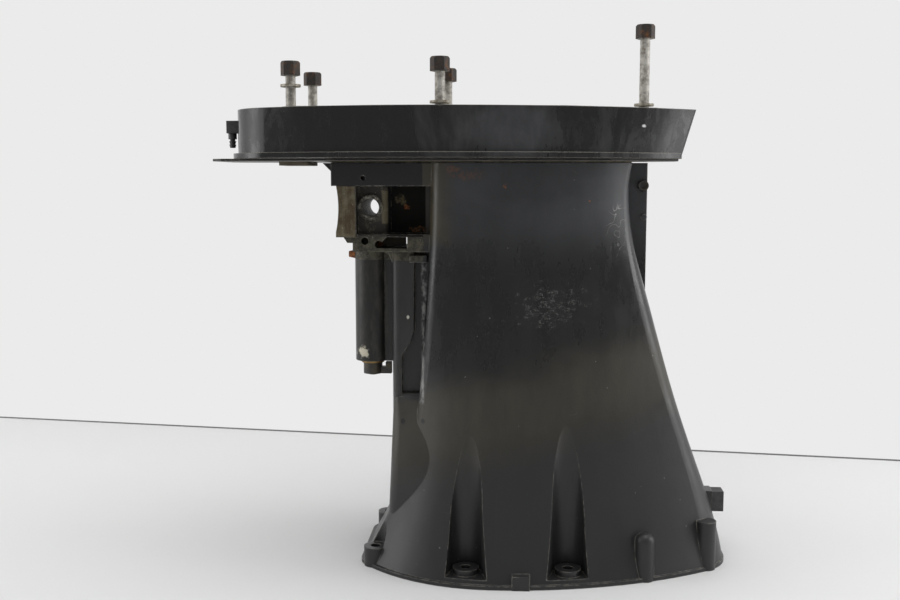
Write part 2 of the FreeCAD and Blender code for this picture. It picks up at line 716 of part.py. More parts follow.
def foot_bosses():
    shoulder = s.capsule_height - s.capsule_dome
    dome = [(s.capsule * math.cos(angle), shoulder + s.capsule_dome * math.sin(angle))
            for angle in (math.radians(20 * step) for step in range(1, 5))]
    capsule = turned("capsule_boss", [(0, 0), (s.capsule, 0), (s.capsule, shoulder)] + dome
                     + [(0, dome[-1][1])], capsule_spot[0], -capsule_spot[1])
    aft = rod(s.aft_boss, s.aft_boss_height, aft_boss_spot[0], -aft_boss_spot[1])
    corner = rod(s.corner_pad, s.corner_height, foot_corner[0], -foot_corner[1])
    lug = block((s.lug_place, -s.foot_beam - s.lug_stand, 0),
                (s.lug_place + s.lug_length, -s.foot_beam + s.foot_rim, s.lug_height))
    plug_half = s.plug_half + s.seat_margin
    plug_pad = block((plug_seat - s.seat_pad, -plug_half, s.plug_foot - s.seat_margin),
                     (plug_seat, plug_half, s.plug_foot + s.plug_height + s.seat_margin))
    return both_sides(capsule, aft, corner, lug) + [plug_pad]


def pocket_rims():
    rims = []
    for x, span in bolt_rows():
        rims.append(rod(s.bolt_rim, s.rim_height, x, -span, s.pocket_floor))
    return both_sides(*rims)


def foot_voids():
    voids = []
    for x, span in bolt_rows():
        voids.append(rod(s.bolt_hole, s.corner_height, x, -span, 0))
    for (x, span), radius, depth in ((foot_corner, s.bolt_hole, s.corner_height),
                                     (capsule_spot, s.stud_hole, s.stud_depth),
                                     (aft_boss_spot, s.stud_hole, s.stud_depth)):
        voids.append(rod(radius, depth, x, -span, 0))
    voids.append(rod(s.corner_pad - s.side_gap, s.shoe_level, foot_corner[0], -foot_corner[1],
                     s.corner_height))
    return both_sides(*voids)


def pocket_voids():
    voids = []
    for x, span in bolt_rows():
        voids.append(pocket_column("pocket_void", x, span, s.pocket_back, s.pocket_mouth,
                                   s.pocket_floor))
    return both_sides(*voids)


def block_voids():
    eye_level = top - s.eye_drop
    saddle = cross_rod(s.saddle, s.block_span + far, post_front - s.saddle + s.saddle_depth,
                       eye_level)
    window_top = window_foot + s.window_height
    window = side_plate("window", [
        (s.window_fore, window_foot), (s.window_aft, window_foot), (s.window_aft, window_top),
        (s.window_fore + s.window_bevel, window_top),
        (s.window_fore, window_top - s.window_bevel)], s.slab_span + far)
    pin_hole = rod(s.pin_hole, s.pin_hole_depth + far, s.pin_hole_place, -s.slab_span - far,
                   top - s.pin_hole_drop, "Y")
    return [
        less(saddle, block((s.block_front - s.saddle * 2, -s.block_span - far * 2,
                            top - s.band_drop), (s.post_aft, s.block_span + far * 2, top))),
        window,
        cross_rod(s.eye, s.eye_span + far, s.eye_place, eye_level),
        cross_rod(s.keyhole, s.slab_span + far, s.keyhole_place, window_foot + s.keyhole),
        block((s.barrel_place, -s.chamber_span, window_foot),
              (s.window_fore + s.window_bevel + past, s.chamber_span, window_top)),
        rod(s.chamber, s.window_height, s.barrel_place, 0, window_foot),
        rod(s.vent, s.vent_depth + far, s.vent_place, -s.block_span - far,
            top - s.vent_drop, "Y"),
    ] + both_sides(pin_hole)


def barrel_voids():
    return [
        rod(s.barrel_bore, s.barrel_drop - s.slab_drop + s.window_height, s.barrel_place, 0,
            barrel_foot),
        rod(s.bush_bore, s.bush_length, s.barrel_place, 0, barrel_foot),
        rod(s.bush_bore, s.bush_length + s.side_gap, s.barrel_place, 0,
            window_foot - s.bush_length - s.side_gap),
        rod(s.lock_screw + s.fit, far, s.barrel_place - s.bush_bore, 0, top - s.lock_drop, "-X"),
    ]


def deck_voids():
    voids = [
        rod(s.exhaust, s.deck, s.exhaust_place, 0, top - s.deck),
        rod(s.drive_bush + s.fit, far, 0, 0, drive_bush_foot - s.deck),
        rod(s.seal + s.fit, s.seal_height + s.side_gap, 0, 0, top - s.seal_height - s.side_gap),
        rod(s.water_passage, s.deck, s.water_place, -s.water_span, top - s.deck),
        rod(s.guide_hole, s.guide_height, s.water_place, -s.water_span, s.guide_level),
    ]
    for x, y in screw_places():
        voids.append(rod(s.screw + s.fit, s.deck, x, y, top - s.deck))
    for y in (-s.dowel_span, s.dowel_span):
        voids.append(rod(s.dowel + s.fit, s.deck, s.dowel_place, y, top - s.deck))
    for x, y in tube_screw_places():
        voids.append(rod(s.tube_screw + s.fit, s.tube_screw_bite, x, y, top - s.deck))
    return voids


def rear_voids():
    plug_level = s.plug_foot + s.plug_height / 2
    return [
        cross_rod(s.pin + s.fit, s.web_half + far, s.pin_place, top - s.pin_drop),
        rod(s.plug_stem + s.fit, far, plug_seat - s.plug_stem_length - past, 0, plug_level,
            "X"),
    ]


def screw_places():
    places = []
    for x, span in ((s.screw_fore, s.screw_fore_span), (s.screw_mid, s.screw_mid_span),
                    (s.screw_aft, s.screw_aft_span)):
        places += [(x, -span), (x, span)]
    return places


def tube_screw_places():
    diagonal = s.tube_screw_circle * math.sqrt(0.5)
    places = []
    for side in (-1, 1):
        for end in (-1, 1):
            places.append((s.exhaust_place + diagonal * end, diagonal * side))
    return places


outside = fused(leg_outside(), toe(0, "toe"))
core = less(fused(leg_core(), toe(s.wall, "toe_core"), column_core()), core_liners(), "core")
casting = fused(outside, mount_block(), *eye_pieces(), *rear_web(), *barrel_and_column(),
                *foot_bosses())
hollow = less(casting, core)
pocketed = less(hollow, fused(*pocket_voids()))
rimmed = fused(pocketed, *pocket_rims())
leg_casing = less(rimmed, fused(*foot_voids(), *block_voids(), *barrel_voids(), *deck_voids(),
                                *rear_voids()), "leg_casing")


# What lies on the deck: gasket, shelf plate, pan, adapter, and the passages through them.

def stack_passages():
    height = bolting_face - top
    rods = [
        rod(s.exhaust, height, s.exhaust_place, 0, top),
        rod(s.drive_passage, height, 0, 0, top),
        rod(s.water_passage, height, s.water_place, -s.water_span, top),
    ]
    rods += [rod(s.screw_hole, height, x, y, top) for x, y in screw_places()]
    for y in (-s.dowel_span, s.dowel_span):
        rods.append(rod(s.dowel + s.fit, s.dowel_length, s.dowel_place, y, top))
    return fused(*rods)


def pan_gasket():
    body = new_body("pan_gasket_sheet")
    pad(body, hull_outline(body, outline_of("crown"), top, s.gasket_inset), s.gasket)
    front = s.block_front + s.gasket_inset
    half = s.block_span - s.gasket_inset
    pad(body, polygon(body, "XY_Plane", [
        (front, -half), (s.block_aft, -half), (s.block_aft, half), (front, half)], top),
        s.gasket)
    return less(body, stack_passages(), "pan_gasket")


def shelf_plate():
    body = new_body("shelf_sheet")
    half = [(s.shelf_front, s.shelf_nose_span),
            (s.shelf_front + s.shelf_corner, s.shelf_nose_span + s.shelf_corner),
            (s.shelf_bow, s.shelf_bow_span), (s.dowel_place, s.shelf_beam),
            (s.screw_aft, s.shelf_aft_span), (s.shelf_tail, s.shelf_tail_span)]
    points = half + [(x, -y) for x, y in reversed(half)]
    pad(body, polygon(body, "XY_Plane", points, shelf_level), s.shelf)
    return less(body, stack_passages(), "shelf_plate")


def seal_strip():
    body = new_body("seal_strip")
    sheet_of_seal = pad(body, polygon(body, "XY_Plane", [
        (s.strip_fore, -s.strip_span), (s.strip_aft, -s.strip_span),
        (s.strip_aft, s.strip_span), (s.strip_fore, s.strip_span)],
        shelf_level - s.strip), s.strip)
    round_upright_edges(body, sheet_of_seal, s.strip)
    return body


def pan_outline(tail):
    return {"nose": s.pan_nose, "nose_flat": s.pan_flat, "nose_round": s.pan_round,
            "beam_place": s.pan_beam_place, "beam": s.pan_beam, "tail": tail,
            "tail_flat": s.pan_tail_flat, "tail_round": s.pan_tail_round}


def cowl_pan():
    body = new_body("pan_shell")
    low, high = s.pan_tail - s.pan_rake, s.pan_tail
    floor_tail = low + s.pan_rake * s.pan_floor / s.pan_height
    rim = pan_level + s.pan_height
    loft(body, [hull_outline(body, pan_outline(low), pan_level),
                hull_outline(body, pan_outline(high), rim)])
    lip_tail = low + s.lip_tail_out - s.lip_out
    pad(body, hull_outline(body, pan_outline(lip_tail), pan_level, -s.lip_out), s.lip_height)
    loft(body, [hull_outline(body, pan_outline(floor_tail), pan_level + s.pan_floor, s.pan_wall),
                hull_outline(body, pan_outline(high), rim, s.pan_wall)], "Subtractive")
    stub_hole = rod(s.elbow_stub + s.fit, s.pan_wall + far, s.pan_nose + s.stub_length, 0,
                    pan_level + s.elbow_rise, "-X")
    return less(body, fused(stack_passages(), stub_hole), "cowl_pan")


def adapter_outline(inset):
    half = [(s.front_bolt_place - s.adapter_nose + inset, s.adapter_nose_span - inset * 0.5),
            (s.front_bolt_place + inset * 0.5,
             s.front_bolt_span + s.adapter_shoulder - inset),
            (s.mid_bolt_place, s.adapter_beam - inset),
            (s.exhaust_place, s.adapter_aft_span - inset),
            (s.rear_bolt_place + s.adapter_tail - inset, s.adapter_tail_span - inset * 0.5)]
    return half + [(x, -y) for x, y in reversed(half)]


def long_bolt_places():
    return [(s.front_bolt_place, -s.front_bolt_span), (s.front_bolt_place, s.front_bolt_span),
            (s.mid_bolt_place, -s.mid_bolt_span), (s.mid_bolt_place, s.mid_bolt_span),
            (s.rear_bolt_place, middle)]


def exhaust_adapter():
    shell = new_body("adapter_shell")
    pad(shell, polygon(shell, "XY_Plane", adapter_outline(0), adapter_level), s.adapter_height)
    cut(shell, polygon(shell, "XY_Plane", adapter_outline(s.adapter_wall), adapter_level),
        s.adapter_height - s.adapter_top)
    height = s.adapter_height - past
    towers = [rod(s.exhaust + s.adapter_wall, height, s.exhaust_place, 0, adapter_level),
              rod(s.drive_passage + s.adapter_wall, height, 0, 0, adapter_level),
              rod(s.water_passage + s.tower_wall, height, s.water_place, -s.water_span,
                  adapter_level)]
    towers += [rod(s.screw_head + s.tower_wall, height, x, y, adapter_level)
               for x, y in screw_places()]
    towers += [rod(s.boss, height, x, y, adapter_level) for x, y in long_bolt_places()]
    voids = [stack_passages()]
    voids += [rod(s.screw_head + s.side_gap, far, x, y, under_screw_head)
              for x, y in screw_places()]
    voids += [rod(s.shank + s.socket_gap, s.socket_depth, x, y, bolting_face - s.socket_depth)
              for x, y in long_bolt_places()]
    return less(fused(shell, *towers), fused(*voids), "exhaust_adapter")


def adapter_gasket():
    body = new_body("adapter_gasket_sheet")
    pad(body, polygon(body, "XY_Plane", adapter_outline(0), adapter_gasket_level),
        s.thin_gasket)
    return less(body, stack_passages(), "adapter_gasket")


def adapter_screws():
    tip = top - s.screw_bite
    length = under_screw_head - tip
    head_top = length + s.screw_head_height
    socket_floor = head_top - s.screw_socket_depth
    screws = []
    for x, y in screw_places():
        screws.append(turned("adapter_screw", [
            (0, 0), (s.screw - s.tip_bevel, 0), (s.screw, s.tip_bevel), (s.screw, length),
            (s.screw_head, length), (s.screw_head, head_top), (s.screw_socket, head_top),
            (s.screw_socket, socket_floor), (0, socket_floor)], x, y, tip))
    return group("adapter_screws", screws)


def top_dowels():
    dowels = []
    for y in (-s.dowel_span, s.dowel_span):
        dowels.append(turned("dowel", [
            (0, 0), (s.dowel - s.bevel, 0), (s.dowel, s.bevel),
            (s.dowel, s.dowel_length - s.bevel), (s.dowel - s.bevel, s.dowel_length),
            (0, s.dowel_length)], s.dowel_place, y, top - s.deck + past))
    return group("top_dowels", dowels)


# The elbow on the front of the pan.

def elbow_pieces():
    level = pan_level + s.elbow_rise
    seat = s.pan_nose
    half = s.elbow_size / 2
    barb_place = seat - s.elbow_length / 2 - s.barb_offset
    cube = block((seat - s.elbow_length, -half, level - half), (seat, half, level + half))
    stub = rod(s.elbow_stub, s.stub_length + half, seat - half, 0, level, "X")
    way_in = rod(s.barb_bore, far, barb_place, 0, level, "X")
    way_down = rod(s.barb + s.fit, half, barb_place, 0, level - half)
    elbow = less(fused(cube, stub), fused(way_in, way_down), "elbow_body")
    length = s.barb_length
    crest, root, collar = s.barb + s.barb_ridge, s.barb - s.barb_ridge, s.barb + s.barb_collar
    barb = turned("elbow_barb", [
        (s.barb_bore, 0), (root, 0), (crest, s.barb_pitch), (root, s.barb_pitch),
        (crest, s.barb_pitch * 2), (root, s.barb_pitch * 2), (root, s.barb_collar_place),
        (collar, s.barb_collar_place), (collar, length), (s.barb, length),
        (s.barb, length + s.barb_tail), (s.barb_bore, length + s.barb_tail)],
        barb_place, 0, level - half - length)
    nut_body = new_body("elbow_nut")
    pad(nut_body, hexagon(nut_body, s.elbow_size), s.nut_height)
    cut(nut_body, discs(nut_body, "XY_Plane", [(0, 0, s.elbow_stub + s.fit)]), s.nut_height)
    lie(nut_body, "X")
    place(nut_body, seat + s.pan_wall, 0, level)
    return [elbow, barb, nut_body]


# The long bolts, each with the washer that is stuck on its shank.

def long_bolt(label, x, y, rise):
    tip = bolting_face - s.bite
    length = s.bite + rise
    body = new_body(label)
    sketch = polygon(body, "XZ_Plane", [
        (0, 0), (s.shank - s.tip_bevel, 0), (s.shank, s.tip_bevel), (s.shank, length),
        (0, length)])
    doc.recompute()
    feature = body.newObject("PartDesign::Revolution", "Turn")
    feature.Profile = sketch
    feature.ReferenceAxis = (sketch, ["V_Axis"])
    feature.Angle = 360
    pad(body, hexagon(body, s.head_flats, length), s.head_height)
    corner = s.head_flats / math.sqrt(3)
    head_top = length + s.head_height
    doc.recompute()
    trim = polygon(body, "XZ_Plane", [
        (s.head_flats / 2, head_top), (corner + past, head_top),
        (corner + past, head_top - s.head_bevel * 2), (corner, head_top - s.head_bevel)])
    doc.recompute()
    groove = body.newObject("PartDesign::Groove", "Bevel")
    groove.Profile = trim
    groove.ReferenceAxis = (trim, ["V_Axis"])
    groove.Angle = 360
    return place(body, x, y, tip)


def stuck_washer(label, x, y, rise):
    return ring(label, s.shank + s.fit, s.washer, s.washer_height, x, y, bolting_face + rise)


# Inside the leg.

def exhaust_tube():
    flange_level = top - s.deck
    inner, outer = s.exhaust, s.exhaust + s.tube_wall
    foot = -s.tube_length
    body = turned("exhaust_pipe", [
        (inner, 0), (s.tube_flange, 0), (s.tube_flange, -s.tube_flange_height),
        (outer, -s.tube_flange_height), (outer + s.tube_flare, foot),
        (inner + s.tube_flare, foot)], s.exhaust_place, 0, flange_level)
    holes = [rod(s.tube_screw + s.fit, far, x, y, flange_level - far / 2)
             for x, y in tube_screw_places()]
    return less(body, fused(*holes), "exhaust_tube")


def exhaust_tube_screws():
    under_head = top - s.deck - s.tube_flange_height
    length = s.tube_flange_height + s.tube_screw_bite - s.side_gap
    screws = []
    for x, y in tube_screw_places():
        screws.append(turned("tube_screw", [
            (0, -s.tube_screw_head_height), (s.tube_screw_head, -s.tube_screw_head_height),
            (s.tube_screw_head, 0), (s.tube_screw, 0), (s.tube_screw, length), (0, length)],
            x, y, under_head))
    return group("exhaust_tube_screws", screws)


def water_pieces():
    x, y = s.water_place, -s.water_span
    tube = ring("water_tube", s.water_tube_bore, s.water_tube,
                top - s.water_tube_foot - s.side_gap, x, y, s.water_tube_foot)
    sleeves = []
    for label, hole, height, level in (
            ("water_tube_grommet", s.water_passage, s.deck - s.side_gap, top - s.deck),
            ("water_tube_guide", s.guide_hole, s.guide_height, s.guide_level)):
        inner = s.water_tube + s.fit
        sleeves.append(turned(label, [
            (inner, -s.flange_height), (hole + s.flange, -s.flange_height),
            (hole + s.flange, 0), (hole - s.fit, 0), (hole - s.fit, height), (inner, height)],
            x, y, level))
    return [tube] + sleeves


def driveshaft_pieces():
    seal_level = top - s.seal_height - s.side_gap
    bush = ring("driveshaft_bush", s.drive_bore, s.drive_bush,
                seal_level - s.side_gap - drive_bush_foot, 0, 0, drive_bush_foot)
    lip = s.drive_bore + s.lip_gap
    mouth = s.drive_bore + s.seal_lip
    seal = turned("driveshaft_seal", [
        (lip, s.seal_lip), (mouth, 0), (s.seal, 0), (s.seal, s.seal_height),
        (mouth, s.seal_height), (lip, s.seal_height - s.seal_lip)], 0, 0, seal_level)
    return [bush, seal]


# The shift gear in the barrel.

def shift_pieces():
    x = s.barrel_place
    arm_level = window_foot + s.side_gap
    arm_height = s.window_height - s.side_gap * 2
    washer_level = barrel_foot - s.side_gap - s.thrust_height
    lever_level = washer_level - s.lever_height
    length = arm_level + arm_height - lever_level + s.shaft_end
    shaft = turned("shift_shaft", [
        (0, 0), (s.shift_shaft - s.bevel, 0), (s.shift_shaft, s.bevel),
        (s.shift_shaft, length), (0, length)], x, 0, lever_level - s.shaft_end)
    bushes = []
    for label, level in (("shift_bush_lower", barrel_foot),
                         ("shift_bush_upper", window_foot - s.bush_length - s.side_gap)):
        bushes.append(ring(label, s.shift_shaft + s.running, s.bush_bore - s.fit / 2,
                           s.bush_length, x, 0, level))
    arm = new_body("arm_blank")
    pad(arm, discs(arm, "XY_Plane", [(x, 0, s.hub)], arm_level), arm_height)
    pad(arm, polygon(arm, "XY_Plane", [
        (x, -s.arm_half), (s.arm_tip, -s.arm_tip_half), (s.arm_tip, s.arm_tip_half),
        (x, s.arm_half)], arm_level), arm_height)
    pad(arm, polygon(arm, "XY_Plane", [
        (x, -s.clamp_half), (s.clamp_tip, -s.clamp_half), (s.clamp_tip, s.clamp_half),
        (x, s.clamp_half)], arm_level), arm_height)
    screw_level = arm_level + s.clamp_head
    arm_voids = fused(
        rod(s.shift_shaft + s.fit / 2, arm_height + past * 2, x, 0, arm_level - past),
        cross_rod(s.clamp_screw + s.fit, s.clamp_half + past, s.clamp_screw_place,
                  screw_level),
        rod(s.clamp_head + s.fit, s.hub + past - s.clamp_half, s.clamp_screw_place,
            -s.hub - past, screw_level, "Y"))
    arm = less(arm, arm_voids, "shift_arm")
    screw = turned("shift_arm_screw", [
        (0, -s.clamp_head_height), (s.clamp_head, -s.clamp_head_height), (s.clamp_head, 0),
        (s.clamp_screw, 0), (s.clamp_screw, s.clamp_half * 2), (0, s.clamp_half * 2)])
    lie(screw, "Y")
    place(screw, s.clamp_screw_place, -s.clamp_half, screw_level)
    washer = ring("shift_washer", s.shift_shaft + s.fit, s.thrust_washer, s.thrust_height,
                  x, 0, washer_level)
    lever = new_body("lever_blank")
    pad(lever, discs(lever, "XY_Plane", [(x, 0, s.hub)], lever_level), s.lever_height)
    pad(lever, polygon(lever, "XY_Plane", [
        (x, -s.arm_half), (s.lever_tip, -s.arm_half), (s.lever_tip, s.arm_half),
        (x, s.arm_half)], lever_level), s.lever_arm)
    pad(lever, polygon(lever, "XY_Plane", [
        (s.lever_tip - s.lever_toe, -s.arm_half), (s.lever_tip, -s.arm_half),
        (s.lever_tip, s.arm_half), (s.lever_tip - s.lever_toe, s.arm_half)], lever_level),
        s.lever_height)
    bore = rod(s.shift_shaft + s.fit / 2, s.lever_height + past * 2, x, 0,
               lever_level - past)
    lever = less(lever, bore, "shift_lever")
    return [shaft] + bushes + [arm, screw, washer, lever]


def barrel_lock_screw():
    length = s.barrel - s.bush_bore
    screw = turned("barrel_lock_screw", [
        (0, 0), (s.lock_screw, 0), (s.lock_screw, length), (s.lock_head, length),
        (s.lock_head_end, length + s.lock_head_height), (0, length + s.lock_head_height)])
    lie(screw, "-X")
    return place(screw, s.barrel_place - s.bush_bore, 0, top - s.lock_drop)


# Behind the leg.

def rear_pin():
    length = s.pin_span * 2
    pin_body = turned("rear_pin", [
        (0, s.pin_dish_depth), (s.pin_dish, s.pin_dish_depth), (s.pin_dish, 0), (s.pin, 0),
        (s.pin, length), (s.pin_dish, length), (s.pin_dish, length - s.pin_dish_depth),
        (0, length - s.pin_dish_depth)])
    lie(pin_body, "Y")
    return place(pin_body, s.pin_place, -s.pin_span, top - s.pin_drop)


def trailing_plug():
    level = s.plug_foot + s.plug_height / 2
    head = block((plug_seat, -s.plug_half, s.plug_foot),
                 (plug_seat + s.plug_length, s.plug_half, s.plug_foot + s.plug_height))
    stem = rod(s.plug_stem, s.plug_stem_length + past, plug_seat - s.plug_stem_length, 0,
               level, "X")
    return fused(head, stem, label="trailing_plug")


pieces = [leg_casing, pan_gasket(), shelf_plate(), seal_strip(), cowl_pan(), exhaust_adapter(),
          adapter_gasket(), adapter_screws(), top_dowels(), exhaust_tube(),
          exhaust_tube_screws(), barrel_lock_screw(), rear_pin(), trailing_plug()]
pieces += elbow_pieces() + water_pieces() + driveshaft_pieces() + shift_pieces()

long_bolts = (
    ("front_bolt_port", s.front_bolt_place, -s.front_bolt_span, s.front_bolt_rise),
    ("front_bolt_starboard", s.front_bolt_place, s.front_bolt_span, s.front_bolt_rise),
    ("mid_bolt_port", s.mid_bolt_place, -s.mid_bolt_span, s.mid_bolt_rise),
    ("mid_bolt_starboard", s.mid_bolt_place, s.mid_bolt_span, s.mid_bolt_rise),
    ("rear_bolt", s.rear_bolt_place, middle, s.rear_bolt_rise),
)
for label, x, y, rise in long_bolts:
    pieces.append(long_bolt(label, x, y, rise))

pieces.append(stuck_washer("front_washer", s.front_bolt_place, -s.front_bolt_span,
                           s.front_washer_rise))
pieces.append(stuck_washer("mid_washer", s.mid_bolt_place, -s.mid_bolt_span,
                           s.low_washer_rise))
pieces.append(stuck_washer("rear_washer", s.rear_bolt_place, middle,
                           s.low_washer_rise))

doc.recompute()

faulty = [thing.Label for thing in doc.Objects
          if "Invalid" in thing.State or "Error" in thing.State]
if faulty:
    raise RuntimeError("failed features: " + ", ".join(faulty))

for piece in pieces:
    if piece.Shape.isNull() or not piece.Shape.isValid():
        raise RuntimeError("bad shape: " + piece.Label)

names = set()
for piece in pieces:
    name = piece.Label
    if name in names:
        raise RuntimeError("two pieces are called " + name)
    names.add(name)
    piece.Shape.exportStep("parts/%s.step" % name)
    box = piece.Shape.BoundBox
    print("%-22s %2d solids %10.0f mm3  X %.1f..%.1f Y %.1f..%.1f Z %.1f..%.1f" % (
        name, len(piece.Shape.Solids), piece.Shape.Volume, box.XMin, box.XMax, box.YMin,
        box.YMax, box.ZMin, box.ZMax))
print(len(names), "nodes")
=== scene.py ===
import math

import bpy
import numpy as np
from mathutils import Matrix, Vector


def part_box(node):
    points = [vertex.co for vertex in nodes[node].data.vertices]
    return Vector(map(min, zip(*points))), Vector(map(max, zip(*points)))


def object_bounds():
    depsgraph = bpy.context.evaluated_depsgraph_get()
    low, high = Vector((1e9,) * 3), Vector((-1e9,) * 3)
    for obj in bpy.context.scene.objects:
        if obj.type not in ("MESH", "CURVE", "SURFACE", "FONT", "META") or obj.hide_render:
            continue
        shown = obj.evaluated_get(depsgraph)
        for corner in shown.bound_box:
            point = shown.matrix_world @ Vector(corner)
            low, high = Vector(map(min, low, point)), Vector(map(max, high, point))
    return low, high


# Mid-section of an outboard motor, standing on its gearcase face. Metres, X aft, Z up.

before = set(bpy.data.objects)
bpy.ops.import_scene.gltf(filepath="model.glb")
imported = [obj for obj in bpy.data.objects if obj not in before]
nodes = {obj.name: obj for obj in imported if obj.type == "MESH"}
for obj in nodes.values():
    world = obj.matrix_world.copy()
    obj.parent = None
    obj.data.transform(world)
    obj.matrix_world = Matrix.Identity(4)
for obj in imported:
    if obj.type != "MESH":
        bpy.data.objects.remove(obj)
cadBox = [list(corner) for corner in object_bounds()]
scene = bpy.context.scene
print("frame loaded,", len(nodes), "nodes")


# Camera, table, wall and lamps.

camera = {"place": (0.049, -1.110, 0.3967), "pitchDown": 6.5655, "yawLeft": 3.6465,
          "lens": 42.4, "sensor": 36.0}
room = {"tableSize": 6.0, "tableTone": 0.80, "wallHeight": 3.0, "wallFoot": -0.002,
        "wallTone": 0.83, "seamMiddle": (0.0, 0.465), "seamTurn": -7.5,
        # the seam's shadow is painted: a dark strip, a little in front of the wall
        "seamShadowHeight": 0.0022, "seamShadowForward": 0.001, "seamShadowTone": 0.22, "skyStrength": 0.30}
lamps = {
    "overhead": {"place": (0.1, -0.25, 1.9), "aim": (0.05, 0.0, 0.2), "size": (1.8, 1.4),
                 "power": 17.0},
    "left": {"place": (-1.7, -0.25, 0.75), "aim": (0.0, 0.0, 0.25), "size": (0.8, 1.3),
             "power": 9.5},
    "right": {"place": (1.7, 0.0, 0.7), "aim": (0.1, 0.0, 0.25), "size": (0.9, 1.4),
              "power": 15.0},
}


def makeCamera():
    lens = bpy.data.cameras.new("camera")
    lens.lens = camera["lens"]
    lens.sensor_width = camera["sensor"]
    lens.clip_end = 50
    seen = bpy.data.objects.new("camera", lens)
    seen.location = camera["place"]
    seen.rotation_euler = (math.radians(90 - camera["pitchDown"]), 0,
                           math.radians(camera["yawLeft"]))
    scene.collection.objects.link(seen)
    scene.camera = seen


def makeLamp(name, lamp):
    light = bpy.data.lights.new(name, "AREA")
    light.shape = "RECTANGLE"
    light.size, light.size_y = lamp["size"]
    light.energy = lamp["power"]
    holder = bpy.data.objects.new(name, light)
    holder.location = lamp["place"]
    aim = Vector(lamp["aim"]) - Vector(lamp["place"])
    holder.rotation_euler = aim.to_track_quat("-Z", "Y").to_euler()
    scene.collection.objects.link(holder)


def sheet(name, points, finish):
    # A flat piece of the room, with one quad, from its four corners in rows.
    mesh = bpy.data.meshes.new(name)
    mesh.from_pydata(points.reshape(-1, 3).tolist(), [], [(0, 1, 3, 2)])
    mesh.update()
    piece = bpy.data.objects.new(name, mesh)
    scene.collection.objects.link(piece)
    mesh.materials.append(finish)


def makeRoom(tableFinish, wallFinish, seamShadowFinish):
    # The table is level with the foot of the leg, and the wall stands on the seam behind it.
    half = room["tableSize"] / 2
    x, y = np.meshgrid([-half, half], [-half, half])
    sheet("table", np.stack([x, y, np.full_like(x, cadBox[0][2])], -1), tableFinish)
    turn = math.radians(room["seamTurn"])
    for name, foot, top, forward, finish in (
            ("wall", room["wallFoot"], room["wallHeight"], 0.0, wallFinish),
            # a dark strip at the wall's foot: painted shadow where wall meets table
            ("seamShadow", 0.0, room["seamShadowHeight"], room["seamShadowForward"], seamShadowFinish)):
        along, up = np.meshgrid([-half * 2, half * 2], [foot, top])
        sheet(name, np.stack([
            room["seamMiddle"][0] + along * math.cos(turn) + forward * math.sin(turn),
            room["seamMiddle"][1] + along * math.sin(turn) - forward * math.cos(turn),
            up], -1), finish)


# Short ways to build shader nodes.

def put(tree, kind, inputs=None, **settings):
    node = tree.nodes.new(kind)
    for key, value in settings.items():
        setattr(node, key, value)
    for key, value in (inputs or {}).items():
        if isinstance(value, bpy.types.NodeSocket):
            tree.links.new(value, node.inputs[key])
        else:
            node.inputs[key].default_value = value
    return node


def sums(tree, operation, *values, clamp=False):
    node = put(tree, "ShaderNodeMath", dict(enumerate(values)), operation=operation)
    node.use_clamp = clamp
    return node.outputs[0]


def between(tree, value, low, high, toLow=0.0, toHigh=1.0):
    # Smooth step from toLow to toHigh while value goes from low to high.
    return put(tree, "ShaderNodeMapRange", {
        "Value": value, "From Min": low, "From Max": high, "To Min": toLow, "To Max": toHigh},
        interpolation_type="SMOOTHSTEP").outputs["Result"]


def blended(tree, amount, first, second, kind="MIX"):
    # 0, 6 and 7 are the factor and the two colours of a colour mix.
    return put(tree, "ShaderNodeMix", {0: amount, 6: first, 7: second},
               data_type="RGBA", blend_type=kind).outputs[2]


def mixed(tree, amount, first, second):
    return put(tree, "ShaderNodeMix", {0: amount, 2: first, 3: second}).outputs[0]


def noise(tree, where, scale, detail=3.0, rough=0.55, warp=0.0):
    return put(tree, "ShaderNodeTexNoise", {
        "Vector": where, "Scale": scale, "Detail": detail, "Roughness": rough,
        "Distortion": warp}).outputs["Fac"]


def stretched(tree, where, scale=(1, 1, 1), turn=(0, 0, 0), shift=(0, 0, 0)):
    return put(tree, "ShaderNodeMapping", {
        "Vector": where, "Scale": scale, "Rotation": turn, "Location": shift}).outputs[0]


def objectPlace(tree):
    return put(tree, "ShaderNodeTexCoord").outputs["Object"]


def tone(level, warm=0.0):
    # A grey with some of its blue taken out.
    return (level * (1 + warm * 0.3), level, level * (1 - warm), 1)


def newGroup(name, inputs, outputs):
    tree = bpy.data.node_groups.new(name, "ShaderNodeTree")
    kinds = {"value": "NodeSocketFloat", "vector": "NodeSocketVector",
             "colour": "NodeSocketColor"}
    for label, (kind, value) in inputs.items():
        socket = tree.interface.new_socket(name=label, in_out="INPUT", socket_type=kinds[kind])
        socket.default_value = value
    for label, kind in outputs.items():
        tree.interface.new_socket(name=label, in_out="OUTPUT", socket_type=kinds[kind])
    return tree, put(tree, "NodeGroupInput").outputs, put(tree, "NodeGroupOutput").inputs


def use(tree, group, **inputs):
    return put(tree, "ShaderNodeGroup", inputs, node_tree=group).outputs


